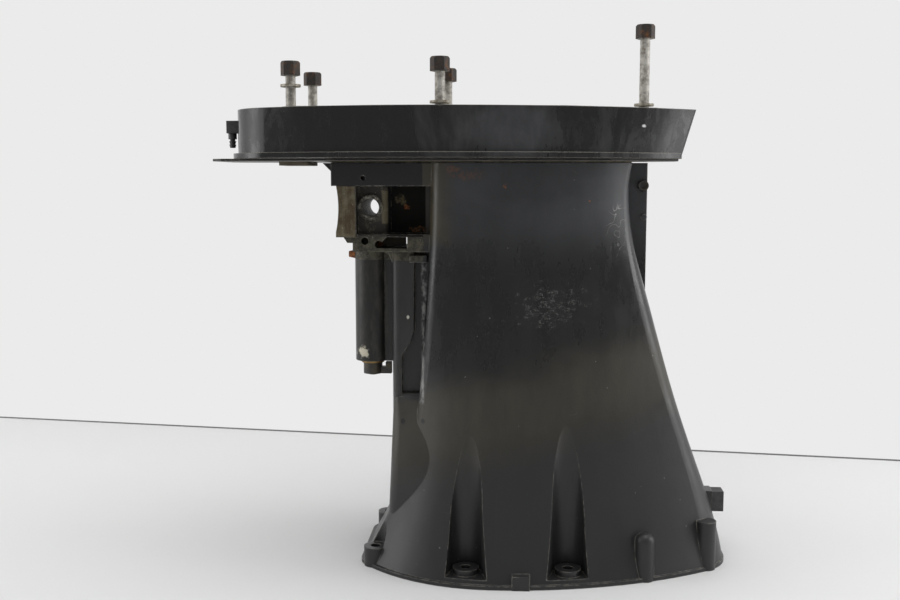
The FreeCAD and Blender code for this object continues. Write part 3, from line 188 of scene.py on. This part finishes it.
def makeWornEdge():
    # Where the rounded normal leaves the flat one there is an edge; noise breaks it up.
    tree, given, result = newGroup(
        "wornEdge", {"Radius": ("value", 0.002), "Grain": ("value", 220.0),
                     "Spread": ("value", 0.5)},
        {"Mask": "value", "Normal": "vector"})
    rounded = put(tree, "ShaderNodeBevel", {"Radius": given["Radius"]}, samples=6).outputs[0]
    flat = put(tree, "ShaderNodeNewGeometry").outputs["Normal"]
    alike = put(tree, "ShaderNodeVectorMath", {0: rounded, 1: flat},
                operation="DOT_PRODUCT").outputs["Value"]
    edge = between(tree, sums(tree, "SUBTRACT", 1.0, alike), 0.02, 0.22)
    broken = noise(tree, objectPlace(tree), given["Grain"], 4.0, 0.7)
    gate = between(tree, broken, sums(tree, "SUBTRACT", 0.75, given["Spread"]),
                   sums(tree, "SUBTRACT", 0.95, given["Spread"]))
    tree.links.new(sums(tree, "MULTIPLY", edge, gate), result["Mask"])
    tree.links.new(rounded, result["Normal"])
    return tree


def makePatch():
    # A soft blot of a given centre and half sizes, its rim eaten by noise.
    tree, given, result = newGroup(
        "patch", {"Centre": ("vector", (0, 0, 0)), "Size": ("vector", (0.02, 0.02, 0.02)),
                  "Ragged": ("value", 0.5), "Grain": ("value", 60.0)}, {"Mask": "value"})
    where = objectPlace(tree)
    off = put(tree, "ShaderNodeVectorMath", {0: where, 1: given["Centre"]},
              operation="SUBTRACT").outputs[0]
    share = put(tree, "ShaderNodeVectorMath", {0: off, 1: given["Size"]},
                operation="DIVIDE").outputs[0]
    reach = put(tree, "ShaderNodeVectorMath", {0: share}, operation="LENGTH").outputs["Value"]
    rim = sums(tree, "MULTIPLY", sums(
        tree, "SUBTRACT", noise(tree, where, given["Grain"], 5.0, 0.65), 0.5), given["Ragged"])
    total = sums(tree, "ADD", reach, sums(tree, "MULTIPLY", rim, 4.0))
    tree.links.new(between(tree, total, 1.15, 0.55), result["Mask"])
    return tree


def makeSpeckle():
    # Small round chips: near a cell's middle, in the few cells that chance picks.
    tree, given, result = newGroup(
        "speckle", {"Scale": ("value", 160.0), "Size": ("value", 0.16),
                    "Share": ("value", 0.1)}, {"Mask": "value"})
    where = objectPlace(tree)
    bent = put(tree, "ShaderNodeVectorMath", {
        0: where, 1: put(tree, "ShaderNodeVectorMath", {
            0: put(tree, "ShaderNodeTexNoise", {"Vector": where, "Scale": 300.0}
                   ).outputs["Color"], "Scale": 0.004}, operation="SCALE").outputs[0]},
        operation="ADD").outputs[0]
    cells = put(tree, "ShaderNodeTexVoronoi", {"Vector": bent, "Scale": given["Scale"]})
    close = between(tree, cells.outputs["Distance"], given["Size"],
                    sums(tree, "MULTIPLY", given["Size"], 0.55))
    chance = put(tree, "ShaderNodeSeparateColor", {0: cells.outputs["Color"]}).outputs[0]
    picked = sums(tree, "LESS_THAN", chance, given["Share"])
    tree.links.new(sums(tree, "MULTIPLY", close, picked), result["Mask"])
    return tree


def makeScratches():
    # Thin lines where a warped noise crosses its middle level, kept only in some places.
    tree, given, result = newGroup(
        "scratches", {"Vector": ("vector", (0, 0, 0)), "Scale": ("value", 30.0),
                      "Width": ("value", 0.006), "Share": ("value", 0.5)}, {"Mask": "value"})
    level = noise(tree, given["Vector"], given["Scale"], 1.0, 0.4, 0.6)
    away = sums(tree, "ABSOLUTE", sums(tree, "SUBTRACT", level, 0.5))
    line = between(tree, away, given["Width"], sums(tree, "MULTIPLY", given["Width"], 0.2))
    shown = noise(tree, given["Vector"], sums(tree, "MULTIPLY", given["Scale"], 0.8), 3.0)
    gate = between(tree, shown, sums(tree, "SUBTRACT", 1.0, given["Share"]),
                   sums(tree, "SUBTRACT", 1.06, given["Share"]))
    tree.links.new(sums(tree, "MULTIPLY", line, gate), result["Mask"])
    return tree


def makeZone():
    # Inside a box: the smallest distance to its six sides, turned into a soft step.
    tree, given, result = newGroup(
        "zone", {"Vector": ("vector", (0, 0, 0)), "Low": ("vector", (-1, -1, -1)),
                 "High": ("vector", (1, 1, 1)), "Soft": ("value", 0.001)}, {"Mask": "value"})
    above = put(tree, "ShaderNodeVectorMath", {0: given["Vector"], 1: given["Low"]},
                operation="SUBTRACT").outputs[0]
    below = put(tree, "ShaderNodeVectorMath", {0: given["High"], 1: given["Vector"]},
                operation="SUBTRACT").outputs[0]
    least = put(tree, "ShaderNodeVectorMath", {0: above, 1: below},
                operation="MINIMUM").outputs[0]
    sides = put(tree, "ShaderNodeSeparateXYZ", {0: least}).outputs
    depth = sums(tree, "MINIMUM", sums(tree, "MINIMUM", sides[0], sides[1]), sides[2])
    tree.links.new(between(tree, depth, sums(tree, "MULTIPLY", given["Soft"], -1.0),
                           given["Soft"]), result["Mask"])
    return tree


wornEdge = makeWornEdge()
patch = makePatch()
speckle = makeSpeckle()
scratches = makeScratches()
zone = makeZone()


def newFinish(name):
    finish = bpy.data.materials.new(name)
    finish.use_nodes = True
    tree = finish.node_tree
    return finish, tree, tree.nodes["Principled BSDF"]


def wire(tree, shader, **sockets):
    for label, value in sockets.items():
        label = {"Base": "Base Color", "Rough": "Roughness",
                 "Specular": "Specular IOR Level"}.get(label, label)
        if isinstance(value, bpy.types.NodeSocket):
            tree.links.new(value, shader.inputs[label])
        else:
            shader.inputs[label].default_value = value


def bumped(tree, height, strength, depth, normal=None):
    inputs = {"Height": height, "Strength": strength, "Distance": depth}
    if normal is not None:
        inputs["Normal"] = normal
    return put(tree, "ShaderNodeBump", inputs).outputs[0]


def axisOf(tree, where, axis):
    return put(tree, "ShaderNodeSeparateXYZ", {0: where}).outputs[axis]


# The finishes.

def roomFinish(name, level):
    # Plain and matt.
    finish, tree, shader = newFinish(name)
    wire(tree, shader, Base=tone(level), Rough=0.9, Specular=0.1)
    return finish


def wallFinish(level):
    # The camera, and what mirrors it, see the wall at its own tone, whatever the light.
    finish, tree, shader = newFinish("wall")
    wire(tree, shader, Base=tone(level), Rough=0.9)
    rays = put(tree, "ShaderNodeLightPath")
    seen = sums(tree, "ADD", sums(tree, "ADD", rays.outputs["Is Camera Ray"],
                                  rays.outputs["Is Glossy Ray"]),
                rays.outputs["Is Transmission Ray"], clamp=True)
    glow = put(tree, "ShaderNodeEmission", {"Color": tone(level), "Strength": 1.0})
    chosen = put(tree, "ShaderNodeMixShader", {0: seen, 1: shader.outputs[0],
                                               2: glow.outputs[0]})
    # From behind, the wall lets the view through to the part.
    clear = put(tree, "ShaderNodeBsdfTransparent")
    back = put(tree, "ShaderNodeNewGeometry").outputs["Backfacing"]
    oneSided = put(tree, "ShaderNodeMixShader", {0: back, 1: chosen.outputs[0],
                                                 2: clear.outputs[0]})
    tree.links.new(oneSided.outputs[0], tree.nodes["Material Output"].inputs[0])
    return finish


paint = {"black": tone(0.012), "dust": (0.046, 0.042, 0.030, 1), "lower": tone(0.022),
         "haze": (0.060, 0.062, 0.068, 1), "olive": (0.070, 0.057, 0.028, 1),
         "bare": (0.34, 0.32, 0.27, 1), "rust": (0.26, 0.09, 0.025, 1),
         "scuff": (0.42, 0.42, 0.40, 1), "gloss": 0.22, "dull": 0.48, "edgeRadius": 0.0018,
         # the dust ends on a line that rises aft: its height at X 0, and its slope
         "dustTop": 0.199, "dustSlope": 0.25, "dustFoot": 0.118, "dustWaver": 0.05,
         "hazeFoot": 0.300, "hazeTop": 0.372,
         "oliveLow": (-0.05, -1, 0.335), "oliveHigh": (-0.022, 1, 0.42)}
stains = {  # centre, half sizes, strength
    "bracket": ((0.0, -0.060, 0.400), (0.016, 0.03, 0.006), 0.22),
    "foreSpot": ((0.0363, -0.064, 0.389), (0.0022, 0.02, 0.0022), 1.0),
    "aftSpot": ((0.1199, -0.055, 0.374), (0.0018, 0.02, 0.0018), 1.0),
    "shoulder": ((-0.014, -0.058, 0.405), (0.008, 0.02, 0.003), 0.3),
}
marks = {  # centre, half sizes
    "scuffs": ((0.081, -0.068, 0.271), (0.034, 0.05, 0.022)),
    "hairs": ((0.148, -0.040, 0.345), (0.012, 0.04, 0.030)),
    "cream": ((-0.1125, -0.0158, 0.2147), (0.006, 0.02, 0.0062)),
    "edgeChip": ((-0.0633, -0.030, 0.2541), (0.0016, 0.01, 0.0022)),
    "panHaze": ((0.045, -0.09, 0.442), (0.050, 0.08, 0.030)),
    "panChip": ((0.1725, -0.0432, 0.4476), (0.0022, 0.01, 0.0016)),
}
pits = {"centres": ((-0.0672, -0.0462, 0.1484), (-0.0458, -0.0554, 0.1508)),
        "size": (0.0028, 0.02, 0.0028)}
pocketStains = (  # centre, half sizes, colour
    ((-0.0659, -0.010, 0.3667), (0.0030, 0.02, 0.0026), paint["rust"]),
    ((-0.0731, -0.010, 0.3740), (0.0055, 0.02, 0.0060), (0.12, 0.10, 0.055, 1)),
    ((-0.0524, -0.010, 0.3440), (0.0100, 0.02, 0.0030), (0.20, 0.10, 0.045, 1)),
)
front = {"edge": -0.0465, "slabFoot": 0.3125, "slabTop": 0.3375, "bandFoot": 0.3885,
         "postAft": -0.1145, "eyeAft": -0.0835, "barrelAft": -0.086, "columnFoot": 0.168,
         "fore": -0.17, "top": 0.42, "barrelFoot": 0.19,
         "eye": (-0.101, 0.367), "ring": 0.0122, "ringColour": (0.36, 0.34, 0.28, 1),
         "crescentFore": -0.0895, "crescentFoot": 0.350, "crescentTop": 0.384,
         "cream": (0.60, 0.56, 0.44, 1),
         "column": (0.030, 0.030, 0.029, 1), "barrel": (0.009, 0.009, 0.008, 1),
         "smear": (0.034, 0.031, 0.025, 1),
         "slab": (0.105, 0.098, 0.070, 1), "post": (0.19, 0.165, 0.105, 1),
         "postDark": (0.085, 0.058, 0.030, 1), "eyeDark": (0.040, 0.036, 0.030, 1),
         # the pocket tone is painted shade of the deep recess, darker than the black paint
         "spark": (0.62, 0.60, 0.52, 1), "pocket": (0.006, 0.005, 0.004, 1),
         # the last tone here is a painted highlight for the column's front edge
         "band": (0.014, 0.013, 0.014, 1), "paintedHighlight": (0.42, 0.42, 0.41, 1)}


def inside(tree, where, low, high, soft=0.001):
    return use(tree, zone, Vector=where, Low=low, High=high, Soft=soft)["Mask"]


def blot(tree, centre, size, ragged=0.5, grain=60.0):
    return use(tree, patch, Centre=centre, Size=size, Ragged=ragged, Grain=grain)["Mask"]


def scaled(tree, mask, amount):
    return sums(tree, "MULTIPLY", mask, amount)


def warpedPlace(tree, where, scale, reach):
    # The place moved about by a coloured noise, so that straight boundaries come out ragged.
    blown = put(tree, "ShaderNodeTexNoise", {"Vector": where, "Scale": scale, "Detail": 4.0})
    centred = put(tree, "ShaderNodeVectorMath", {0: blown.outputs["Color"],
                                                 1: (0.5, 0.5, 0.5)}, operation="SUBTRACT")
    moved = put(tree, "ShaderNodeVectorMath", {0: centred.outputs[0], "Scale": reach},
                operation="SCALE")
    return put(tree, "ShaderNodeVectorMath", {0: where, 1: moved.outputs[0]},
               operation="ADD").outputs[0]


def legPanel(tree, where, colour):
    # The painted sides: haze above, a glossy band, dust below a slanting line, grey at the foot.
    height = axisOf(tree, where, 2)
    along = axisOf(tree, where, 0)
    cloud = noise(tree, stretched(tree, where, (1, 1, 1.5)), 11.0, 6.0, 0.62, 0.3)
    streak = noise(tree, stretched(tree, where, (1, 1, 0.22)), 42.0, 5.0, 0.65)
    level = sums(tree, "ADD", sums(tree, "SUBTRACT", height, scaled(
        tree, along, paint["dustSlope"])), scaled(tree, sums(tree, "SUBTRACT", cloud, 0.5),
                                                  paint["dustWaver"]))
    dusty = sums(tree, "MULTIPLY", between(tree, level, paint["dustTop"] + 0.016,
                                           paint["dustTop"] - 0.030),
                 between(tree, level, paint["dustFoot"] - 0.03, paint["dustFoot"] + 0.03))
    dusty = sums(tree, "MULTIPLY", dusty, between(tree, streak, 0.2, 0.75, 0.55, 1.0))
    low = between(tree, level, paint["dustFoot"] + 0.03, paint["dustFoot"] - 0.02)
    hazy = sums(tree, "MULTIPLY", between(tree, height, paint["hazeFoot"], paint["hazeTop"]),
                between(tree, cloud, 0.25, 0.7, 0.45, 1.0))
    hazy = sums(tree, "MULTIPLY", hazy, between(tree, streak, 0.25, 0.7, 0.75, 1.0))
    colour = blended(tree, low, colour, paint["lower"])
    colour = blended(tree, dusty, colour, paint["dust"])
    colour = blended(tree, scaled(tree, hazy, 0.85), colour, paint["haze"])
    tint = sums(tree, "MULTIPLY", inside(tree, where, paint["oliveLow"], paint["oliveHigh"],
                                         0.012), between(tree, cloud, 0.3, 0.6))
    colour = blended(tree, scaled(tree, tint, 0.7), colour, paint["olive"])
    for centre, size, strength in stains.values():
        colour = blended(tree, scaled(tree, sums(tree, "MULTIPLY", blot(
            tree, centre, size, 0.7, 110.0), between(tree, noise(
                tree, where, 260.0, 4.0, 0.7), 0.35, 0.6)), strength), colour, paint["rust"])
    for centre in pits["centres"]:
        colour = blended(tree, blot(tree, centre, pits["size"], 0.2), colour, paint["black"])
    return colour, dusty, hazy, low


def legMarks(tree, where, colour):
    # Crackled scuffs amidships, curled hairs aft, and a few long faint lines.
    crackle = put(tree, "ShaderNodeTexVoronoi", {"Vector": warpedPlace(
        tree, where, 160.0, 0.02), "Scale": 300.0}, feature="DISTANCE_TO_EDGE"
                  ).outputs["Distance"]
    scuffed = sums(tree, "MULTIPLY", between(tree, crackle, 0.07, 0.015), blot(
        tree, *marks["scuffs"], 1.0, 90.0))
    scuffed = sums(tree, "MULTIPLY", scuffed, between(tree, noise(
        tree, stretched(tree, where, (1, 1, 2.0)), 150.0, 4.0, 0.7), 0.46, 0.60))
    hairs = sums(tree, "MULTIPLY", use(
        tree, scratches, Vector=where, Scale=75.0, Width=0.010, Share=0.62)["Mask"],
                 blot(tree, *marks["hairs"], 0.3))
    faint = use(tree, scratches, Vector=stretched(tree, where, (0.35, 1, 1.2), (0, 0.5, 0)),
                Scale=34.0, Width=0.0022, Share=0.36)["Mask"]
    colour = blended(tree, scaled(tree, scuffed, 0.45), colour, paint["scuff"])
    colour = blended(tree, scaled(tree, hairs, 0.6), colour, paint["scuff"])
    colour = blended(tree, scaled(tree, faint, 0.22), colour, paint["scuff"])
    chips = use(tree, speckle, Scale=170.0, Size=0.11, Share=0.045)["Mask"]
    return blended(tree, scaled(tree, chips, 0.5), colour, paint["scuff"])


def legFront(tree, where, colour):
    # The bare mount block: post, eye, pocket and slab; below it the barrel and the column. The
    # pocket is painted darker as shade, and the column's front edge carries a painted highlight.
    bent = warpedPlace(tree, where, 120.0, 0.003)
    crust = noise(tree, where, 150.0, 7.0, 0.72)
    fine = noise(tree, where, 420.0, 5.0, 0.75)
    sparkle = between(tree, fine, 0.62, 0.70)
    edge = front["edge"]
    column = inside(tree, bent, (front["barrelAft"], -1, front["columnFoot"]),
                    (edge, 1, front["slabFoot"]), 0.0015)
    worn = blended(tree, between(tree, noise(tree, stretched(tree, where, (1, 1, 0.3)), 60.0,
                                             5.0, 0.6), 0.3, 0.7),
                   scaledColour(front["column"], 0.7), front["column"])
    colour = blended(tree, column, colour, worn)
    barrel = inside(tree, bent, (front["fore"], -1, front["barrelFoot"]),
                    (front["barrelAft"], 1, front["slabFoot"]), 0.0008)
    colour = blended(tree, barrel, colour, blended(
        tree, between(tree, noise(tree, stretched(tree, where, (1, 1, 0.25)), 130.0, 6.0,
                                  0.7), 0.40, 0.66), front["barrel"], front["smear"]))
    cream = blot(tree, *marks["cream"], 0.8, 160.0)
    colour = blended(tree, cream, colour, front["cream"])
    # Painted highlight: a pale, broken streak along the column's rounded front edge, standing in
    # for its glossy reflection.
    paintedHighlight = inside(tree, bent, (edge - 0.0030, -0.2, front["columnFoot"]),
                   (edge + 0.0012, 0.2, front["slabFoot"] - 0.002), 0.0016)
    paintedHighlight = sums(tree, "MULTIPLY", paintedHighlight, between(tree, noise(
        tree, stretched(tree, where, (1, 1, 0.5)), 210.0, 5.0, 0.75), 0.40, 0.58))
    colour = blended(tree, scaled(tree, paintedHighlight, 0.8), colour, front["paintedHighlight"])
    chip = blot(tree, *marks["edgeChip"], 0.5, 200.0)
    colour = blended(tree, chip, colour, front["spark"])
    slab = inside(tree, bent, (front["fore"], -1, front["slabFoot"]),
                  (edge, 1, front["slabTop"]), 0.0006)
    colour = blended(tree, slab, colour, blended(
        tree, between(tree, crust, 0.40, 0.62), scaledColour(front["slab"], 0.4),
        front["slab"]))
    post = inside(tree, bent, (front["fore"], -1, front["slabTop"]),
                  (front["postAft"], 1, front["bandFoot"]), 0.0006)
    grain = noise(tree, stretched(tree, where, (1.0, 1.0, 0.12)), 190.0, 5.0, 0.65)
    olive = sums(tree, "ADD", scaled(tree, grain, 0.45), scaled(tree, noise(
        tree, where, 95.0, 7.0, 0.75), 0.55))
    colour = blended(tree, post, colour, blended(
        tree, between(tree, olive, 0.40, 0.60), front["postDark"], front["post"]))
    eye = inside(tree, bent, (front["postAft"], -1, front["slabTop"]),
                 (front["eyeAft"], 1, front["bandFoot"]), 0.0006)
    mottled = blended(tree, between(tree, crust, 0.52, 0.66), front["eyeDark"], front["slab"])
    colour = blended(tree, eye, colour, mottled)
    flat = put(tree, "ShaderNodeVectorMath", {
        0: put(tree, "ShaderNodeVectorMath", {0: where, 1: (front["eye"][0], 0,
                                                            front["eye"][1])},
               operation="SUBTRACT").outputs[0], 1: (1, 0, 1)}, operation="MULTIPLY")
    reach = put(tree, "ShaderNodeVectorMath", {0: flat.outputs[0]},
                operation="LENGTH").outputs["Value"]
    ring = sums(tree, "MULTIPLY", between(tree, reach, front["ring"] + 0.0006,
                                          front["ring"] - 0.0004), eye)
    colour = blended(tree, scaled(tree, sums(tree, "MULTIPLY", ring, between(
        tree, fine, 0.46, 0.62)), 0.8), colour, front["ringColour"])
    crescent = inside(tree, bent, (front["crescentFore"], -1, front["crescentFoot"]),
                      (front["eyeAft"], 1, front["crescentTop"]), 0.0008)
    colour = blended(tree, scaled(tree, crescent, 0.85), colour, front["post"])
    # Painted shade: the deep pocket is coloured near black, darker than the paint, as if in
    # shadow.
    pocket = inside(tree, where, (front["eyeAft"], -1, front["slabTop"]),
                    (edge, 1, front["bandFoot"]), 0.0005)
    colour = blended(tree, pocket, colour, front["pocket"])
    for centre, size, stain in pocketStains:
        colour = blended(tree, sums(tree, "MULTIPLY", blot(tree, centre, size, 0.8, 170.0),
                                    between(tree, fine, 0.35, 0.6)), colour, stain)
    bare = sums(tree, "MAXIMUM", sums(tree, "MAXIMUM", post, eye), slab)
    colour = blended(tree, scaled(tree, sums(tree, "MULTIPLY", sparkle, bare), 0.8), colour,
                     front["spark"])
    band = inside(tree, where, (front["fore"], -1, front["bandFoot"]),
                  (edge, 1, front["top"]), 0.0005)
    colour = blended(tree, band, colour, front["band"])
    return colour, bare, crust, sums(tree, "MAXIMUM", column, barrel), pocket


def scaledColour(colour, amount):
    return tuple(channel * amount for channel in colour[:3]) + (1,)


def legPaint():
    finish, tree, shader = newFinish("legPaint")
    where = objectPlace(tree)
    colour, dusty, hazy, low = legPanel(tree, where, paint["black"])
    colour = legMarks(tree, where, colour)
    edge = use(tree, wornEdge, Radius=paint["edgeRadius"], Grain=130.0, Spread=0.34)
    colour, bare, crust, smooth, pocket = legFront(tree, where, colour)
    colour = blended(tree, scaled(tree, edge["Mask"], 0.85), colour, paint["bare"])
    grit = sums(tree, "ADD", noise(tree, where, 900.0, 2.0),
                sums(tree, "MULTIPLY", noise(tree, where, 45.0, 3.0), 1.5))
    matt = sums(tree, "MAXIMUM", sums(tree, "MAXIMUM", dusty, scaled(tree, hazy, 0.75)),
                scaled(tree, low, 0.6))
    wiped = between(tree, noise(tree, stretched(tree, where, (1, 1, 0.3)), 28.0, 7.0, 0.7),
                    0.34, 0.68, paint["gloss"] * 0.8, paint["gloss"] * 1.9)
    rough = mixed(tree, matt, wiped, paint["dull"])
    rough = mixed(tree, smooth, rough, 0.40)
    rough = mixed(tree, pocket, rough, 0.95)
    rough = mixed(tree, bare, rough, 0.62)
    relief = mixed(tree, bare, grit, scaled(tree, crust, 9.0))
    wire(tree, shader, Base=colour, Rough=rough, Metallic=scaled(tree, bare, 0.3),
         Normal=bumped(tree, relief, 0.22, 0.0004, edge["Normal"]))
    return finish


def panPaint():
    finish, tree, shader = newFinish("panPaint")
    where = objectPlace(tree)
    smear = noise(tree, stretched(tree, where, (1, 1, 0.35)), 26.0, 7.0, 0.72, 0.4)
    haze = sums(tree, "MULTIPLY", blot(tree, *marks["panHaze"], 0.25, 30.0),
                between(tree, smear, 0.3, 0.7, 0.4, 1.0))
    colour = blended(tree, between(tree, smear, 0.5, 0.8), paint["black"], tone(0.045))
    colour = blended(tree, scaled(tree, haze, 0.6), colour, (0.07, 0.072, 0.078, 1))
    # Pale line along the pan's edges: worn paint, kept nearly unbroken as a painted highlight
    # along the lip.
    edge = use(tree, wornEdge, Radius=0.0013, Grain=60.0, Spread=0.58)
    colour = blended(tree, scaled(tree, edge["Mask"], 0.75), colour, paint["bare"])
    chips = use(tree, speckle, Scale=150.0, Size=0.11, Share=0.016)["Mask"]
    colour = blended(tree, chips, colour, tone(0.5))
    chip = blot(tree, *marks["panChip"], 0.4, 200.0)
    colour = blended(tree, chip, colour, tone(0.75))
    # Pale streaks: scratches, and a painted highlight smeared along the band.
    line = use(tree, scratches, Vector=stretched(tree, where, (0.3, 1, 1.5)), Scale=40.0,
               Width=0.003, Share=0.34)["Mask"]
    colour = blended(tree, scaled(tree, line, 0.3), colour, tone(0.3))
    peel = noise(tree, where, 420.0, 2.0)
    rough = mixed(tree, haze, between(tree, smear, 0.35, 0.65, 0.10, 0.42), 0.42)
    wire(tree, shader, Base=colour, Rough=rough,
         Normal=bumped(tree, peel, 0.12, 0.0003, edge["Normal"]))
    return finish


def platePaint():
    finish, tree, shader = newFinish("platePaint")
    where = objectPlace(tree)
    crust = noise(tree, where, 60.0, 7.0, 0.7)
    edge = use(tree, wornEdge, Radius=0.0010, Grain=150.0, Spread=0.5)
    colour = blended(tree, between(tree, crust, 0.45, 0.75), paint["black"],
                     (0.05, 0.042, 0.032, 1))
    colour = blended(tree, edge["Mask"], colour, paint["bare"])
    wire(tree, shader, Base=colour, Rough=0.45,
         Normal=bumped(tree, crust, 0.3, 0.0006, edge["Normal"]))
    return finish


def castAlloy(name, level, warm, rough):
    finish, tree, shader = newFinish(name)
    where = objectPlace(tree)
    cloud = noise(tree, where, 35.0, 6.0, 0.65)
    grain = noise(tree, where, 800.0, 3.0)
    edge = use(tree, wornEdge, Radius=0.0012, Grain=200.0, Spread=0.3)
    colour = blended(tree, between(tree, cloud, 0.3, 0.75), tone(level, warm),
                     tone(level * 0.45, warm * 1.5))
    colour = blended(tree, edge["Mask"], colour, tone(min(level * 1.7, 0.8), warm))
    wire(tree, shader, Base=colour, Rough=mixed(tree, cloud, rough, rough + 0.2),
         Metallic=0.55, Normal=bumped(tree, grain, 0.35, 0.0004, edge["Normal"]))
    return finish


bolt = {"white": (0.62, 0.60, 0.55, 1), "grey": (0.27, 0.25, 0.22, 1),
        "headDark": (0.045, 0.040, 0.036, 1), "rust": (0.17, 0.075, 0.03, 1),
        "headHeight": 0.014}


def boltFinish(name, headFrom):
    # Pale corroded plating on the shank; the head is dark, with rust in it.
    finish, tree, shader = newFinish(name)
    where = objectPlace(tree)
    height = axisOf(tree, where, 2)
    crust = noise(tree, where, 150.0, 8.0, 0.75)
    spots = noise(tree, where, 330.0, 6.0, 0.7)
    shank = blended(tree, between(tree, crust, 0.38, 0.6), bolt["grey"], bolt["white"])
    shank = blended(tree, between(tree, spots, 0.62, 0.72), shank, bolt["rust"])
    head = blended(tree, between(tree, crust, 0.48, 0.7), bolt["headDark"], bolt["rust"])
    head = blended(tree, between(tree, spots, 0.66, 0.74), head, bolt["grey"])
    isHead = between(tree, height, headFrom - 0.0004, headFrom + 0.0004)
    colour = blended(tree, isHead, shank, head)
    edge = use(tree, wornEdge, Radius=0.0009, Grain=500.0, Spread=0.35)
    wire(tree, shader, Base=colour, Rough=0.6, Metallic=0.35,
         Normal=bumped(tree, crust, 0.5, 0.0006, edge["Normal"]))
    return finish


rustTones = {"dark": (0.10, 0.035, 0.014, 1), "bright": (0.46, 0.17, 0.05, 1)}


def rustFinish():
    finish, tree, shader = newFinish("rust")
    where = objectPlace(tree)
    crust = noise(tree, where, 260.0, 8.0, 0.75)
    colour = blended(tree, between(tree, crust, 0.35, 0.7), rustTones["dark"],
                     rustTones["bright"])
    wire(tree, shader, Base=colour, Rough=0.8, Normal=bumped(tree, crust, 0.7, 0.0007))
    return finish


def plainFinish(name, first, second, rough, metal=0.0, scale=90.0):
    finish, tree, shader = newFinish(name)
    where = objectPlace(tree)
    cloud = noise(tree, where, scale, 6.0, 0.65)
    edge = use(tree, wornEdge, Radius=0.0008, Grain=300.0, Spread=0.3)
    colour = blended(tree, between(tree, cloud, 0.35, 0.7), first, second)
    wire(tree, shader, Base=colour, Rough=mixed(tree, cloud, rough * 0.8, rough * 1.15),
         Metallic=metal, Normal=bumped(tree, cloud, 0.25, 0.0004, edge["Normal"]))
    return finish


plain = {
    "darkSteel": {"first": tone(0.05), "second": (0.10, 0.085, 0.06, 1), "rough": 0.5,
                  "metal": 0.5},
    "bronze": {"first": (0.36, 0.24, 0.09, 1), "second": (0.16, 0.11, 0.05, 1), "rough": 0.4,
               "metal": 0.8},
    "rubber": {"first": tone(0.045), "second": tone(0.09), "rough": 0.75},
    "gasketSheet": {"first": (0.10, 0.085, 0.06, 1), "second": (0.19, 0.16, 0.11, 1),
                    "rough": 0.85},
    "elbowPlastic": {"first": tone(0.03), "second": tone(0.07), "rough": 0.45},
    "dullSteel": {"first": tone(0.42), "second": tone(0.24, 0.1), "rough": 0.4,
                  "metal": 0.85},
    "washerPlating": {"first": (0.50, 0.47, 0.40, 1), "second": (0.16, 0.13, 0.09, 1),
                      "rough": 0.55, "metal": 0.5, "scale": 220.0},
}
made = {name: plainFinish(name, **values) for name, values in plain.items()}
made["rust"] = rustFinish()
for row, node in (("front", "front_bolt_port"), ("mid", "mid_bolt_port"),
                  ("rear", "rear_bolt")):
    made[row + "Bolt"] = boltFinish(row + "BoltPlating",
                                    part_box(node)[1][2] - bolt["headHeight"])

wearers = {
    "gasketSheet": ("pan_gasket", "adapter_gasket", "seal_strip"),
    "darkSteel": ("adapter_screws", "top_dowels", "exhaust_tube_screws", "rear_pin",
                  "shift_shaft", "shift_arm", "shift_lever"),
    "rust": ("barrel_lock_screw", "shift_arm_screw"),
    "rubber": ("trailing_plug", "driveshaft_seal", "water_tube_grommet", "water_tube_guide"),
    "elbowPlastic": ("elbow_body", "elbow_barb"),
    "dullSteel": ("elbow_nut", "water_tube"),
    "bronze": ("driveshaft_bush", "shift_bush_lower", "shift_bush_upper", "shift_washer"),
    "frontBolt": ("front_bolt_port", "front_bolt_starboard"),
    "midBolt": ("mid_bolt_port", "mid_bolt_starboard"),
    "rearBolt": ("rear_bolt",),
    "washerPlating": ("front_washer", "mid_washer", "rear_washer"),
}
finishes = {
    "leg_casing": legPaint(), "cowl_pan": panPaint(), "shelf_plate": platePaint(),
    "exhaust_adapter": castAlloy("adapterAlloy", 0.36, 0.12, 0.45),
    "exhaust_tube": castAlloy("tubeAlloy", 0.20, 0.2, 0.6),
}
for kind, names in wearers.items():
    finishes.update(dict.fromkeys(names, made[kind]))
for name, finish in finishes.items():
    node = nodes[name]
    node.data.materials.clear()
    node.data.materials.append(finish)
print("finishes on", len(finishes), "nodes")


# The room.

world = bpy.data.worlds.new("room")
scene.world = world
world.use_nodes = True
sky = world.node_tree.nodes["Background"]
sky.inputs["Color"].default_value = tone(1.0)
sky.inputs["Strength"].default_value = room["skyStrength"]
scene.view_settings.view_transform = "Standard"
makeCamera()
makeRoom(roomFinish("table", room["tableTone"]), wallFinish(room["wallTone"]),
         roomFinish("seamShadow", room["seamShadowTone"]))
for name, lamp in lamps.items():
    makeLamp(name, lamp)
print("room ready")
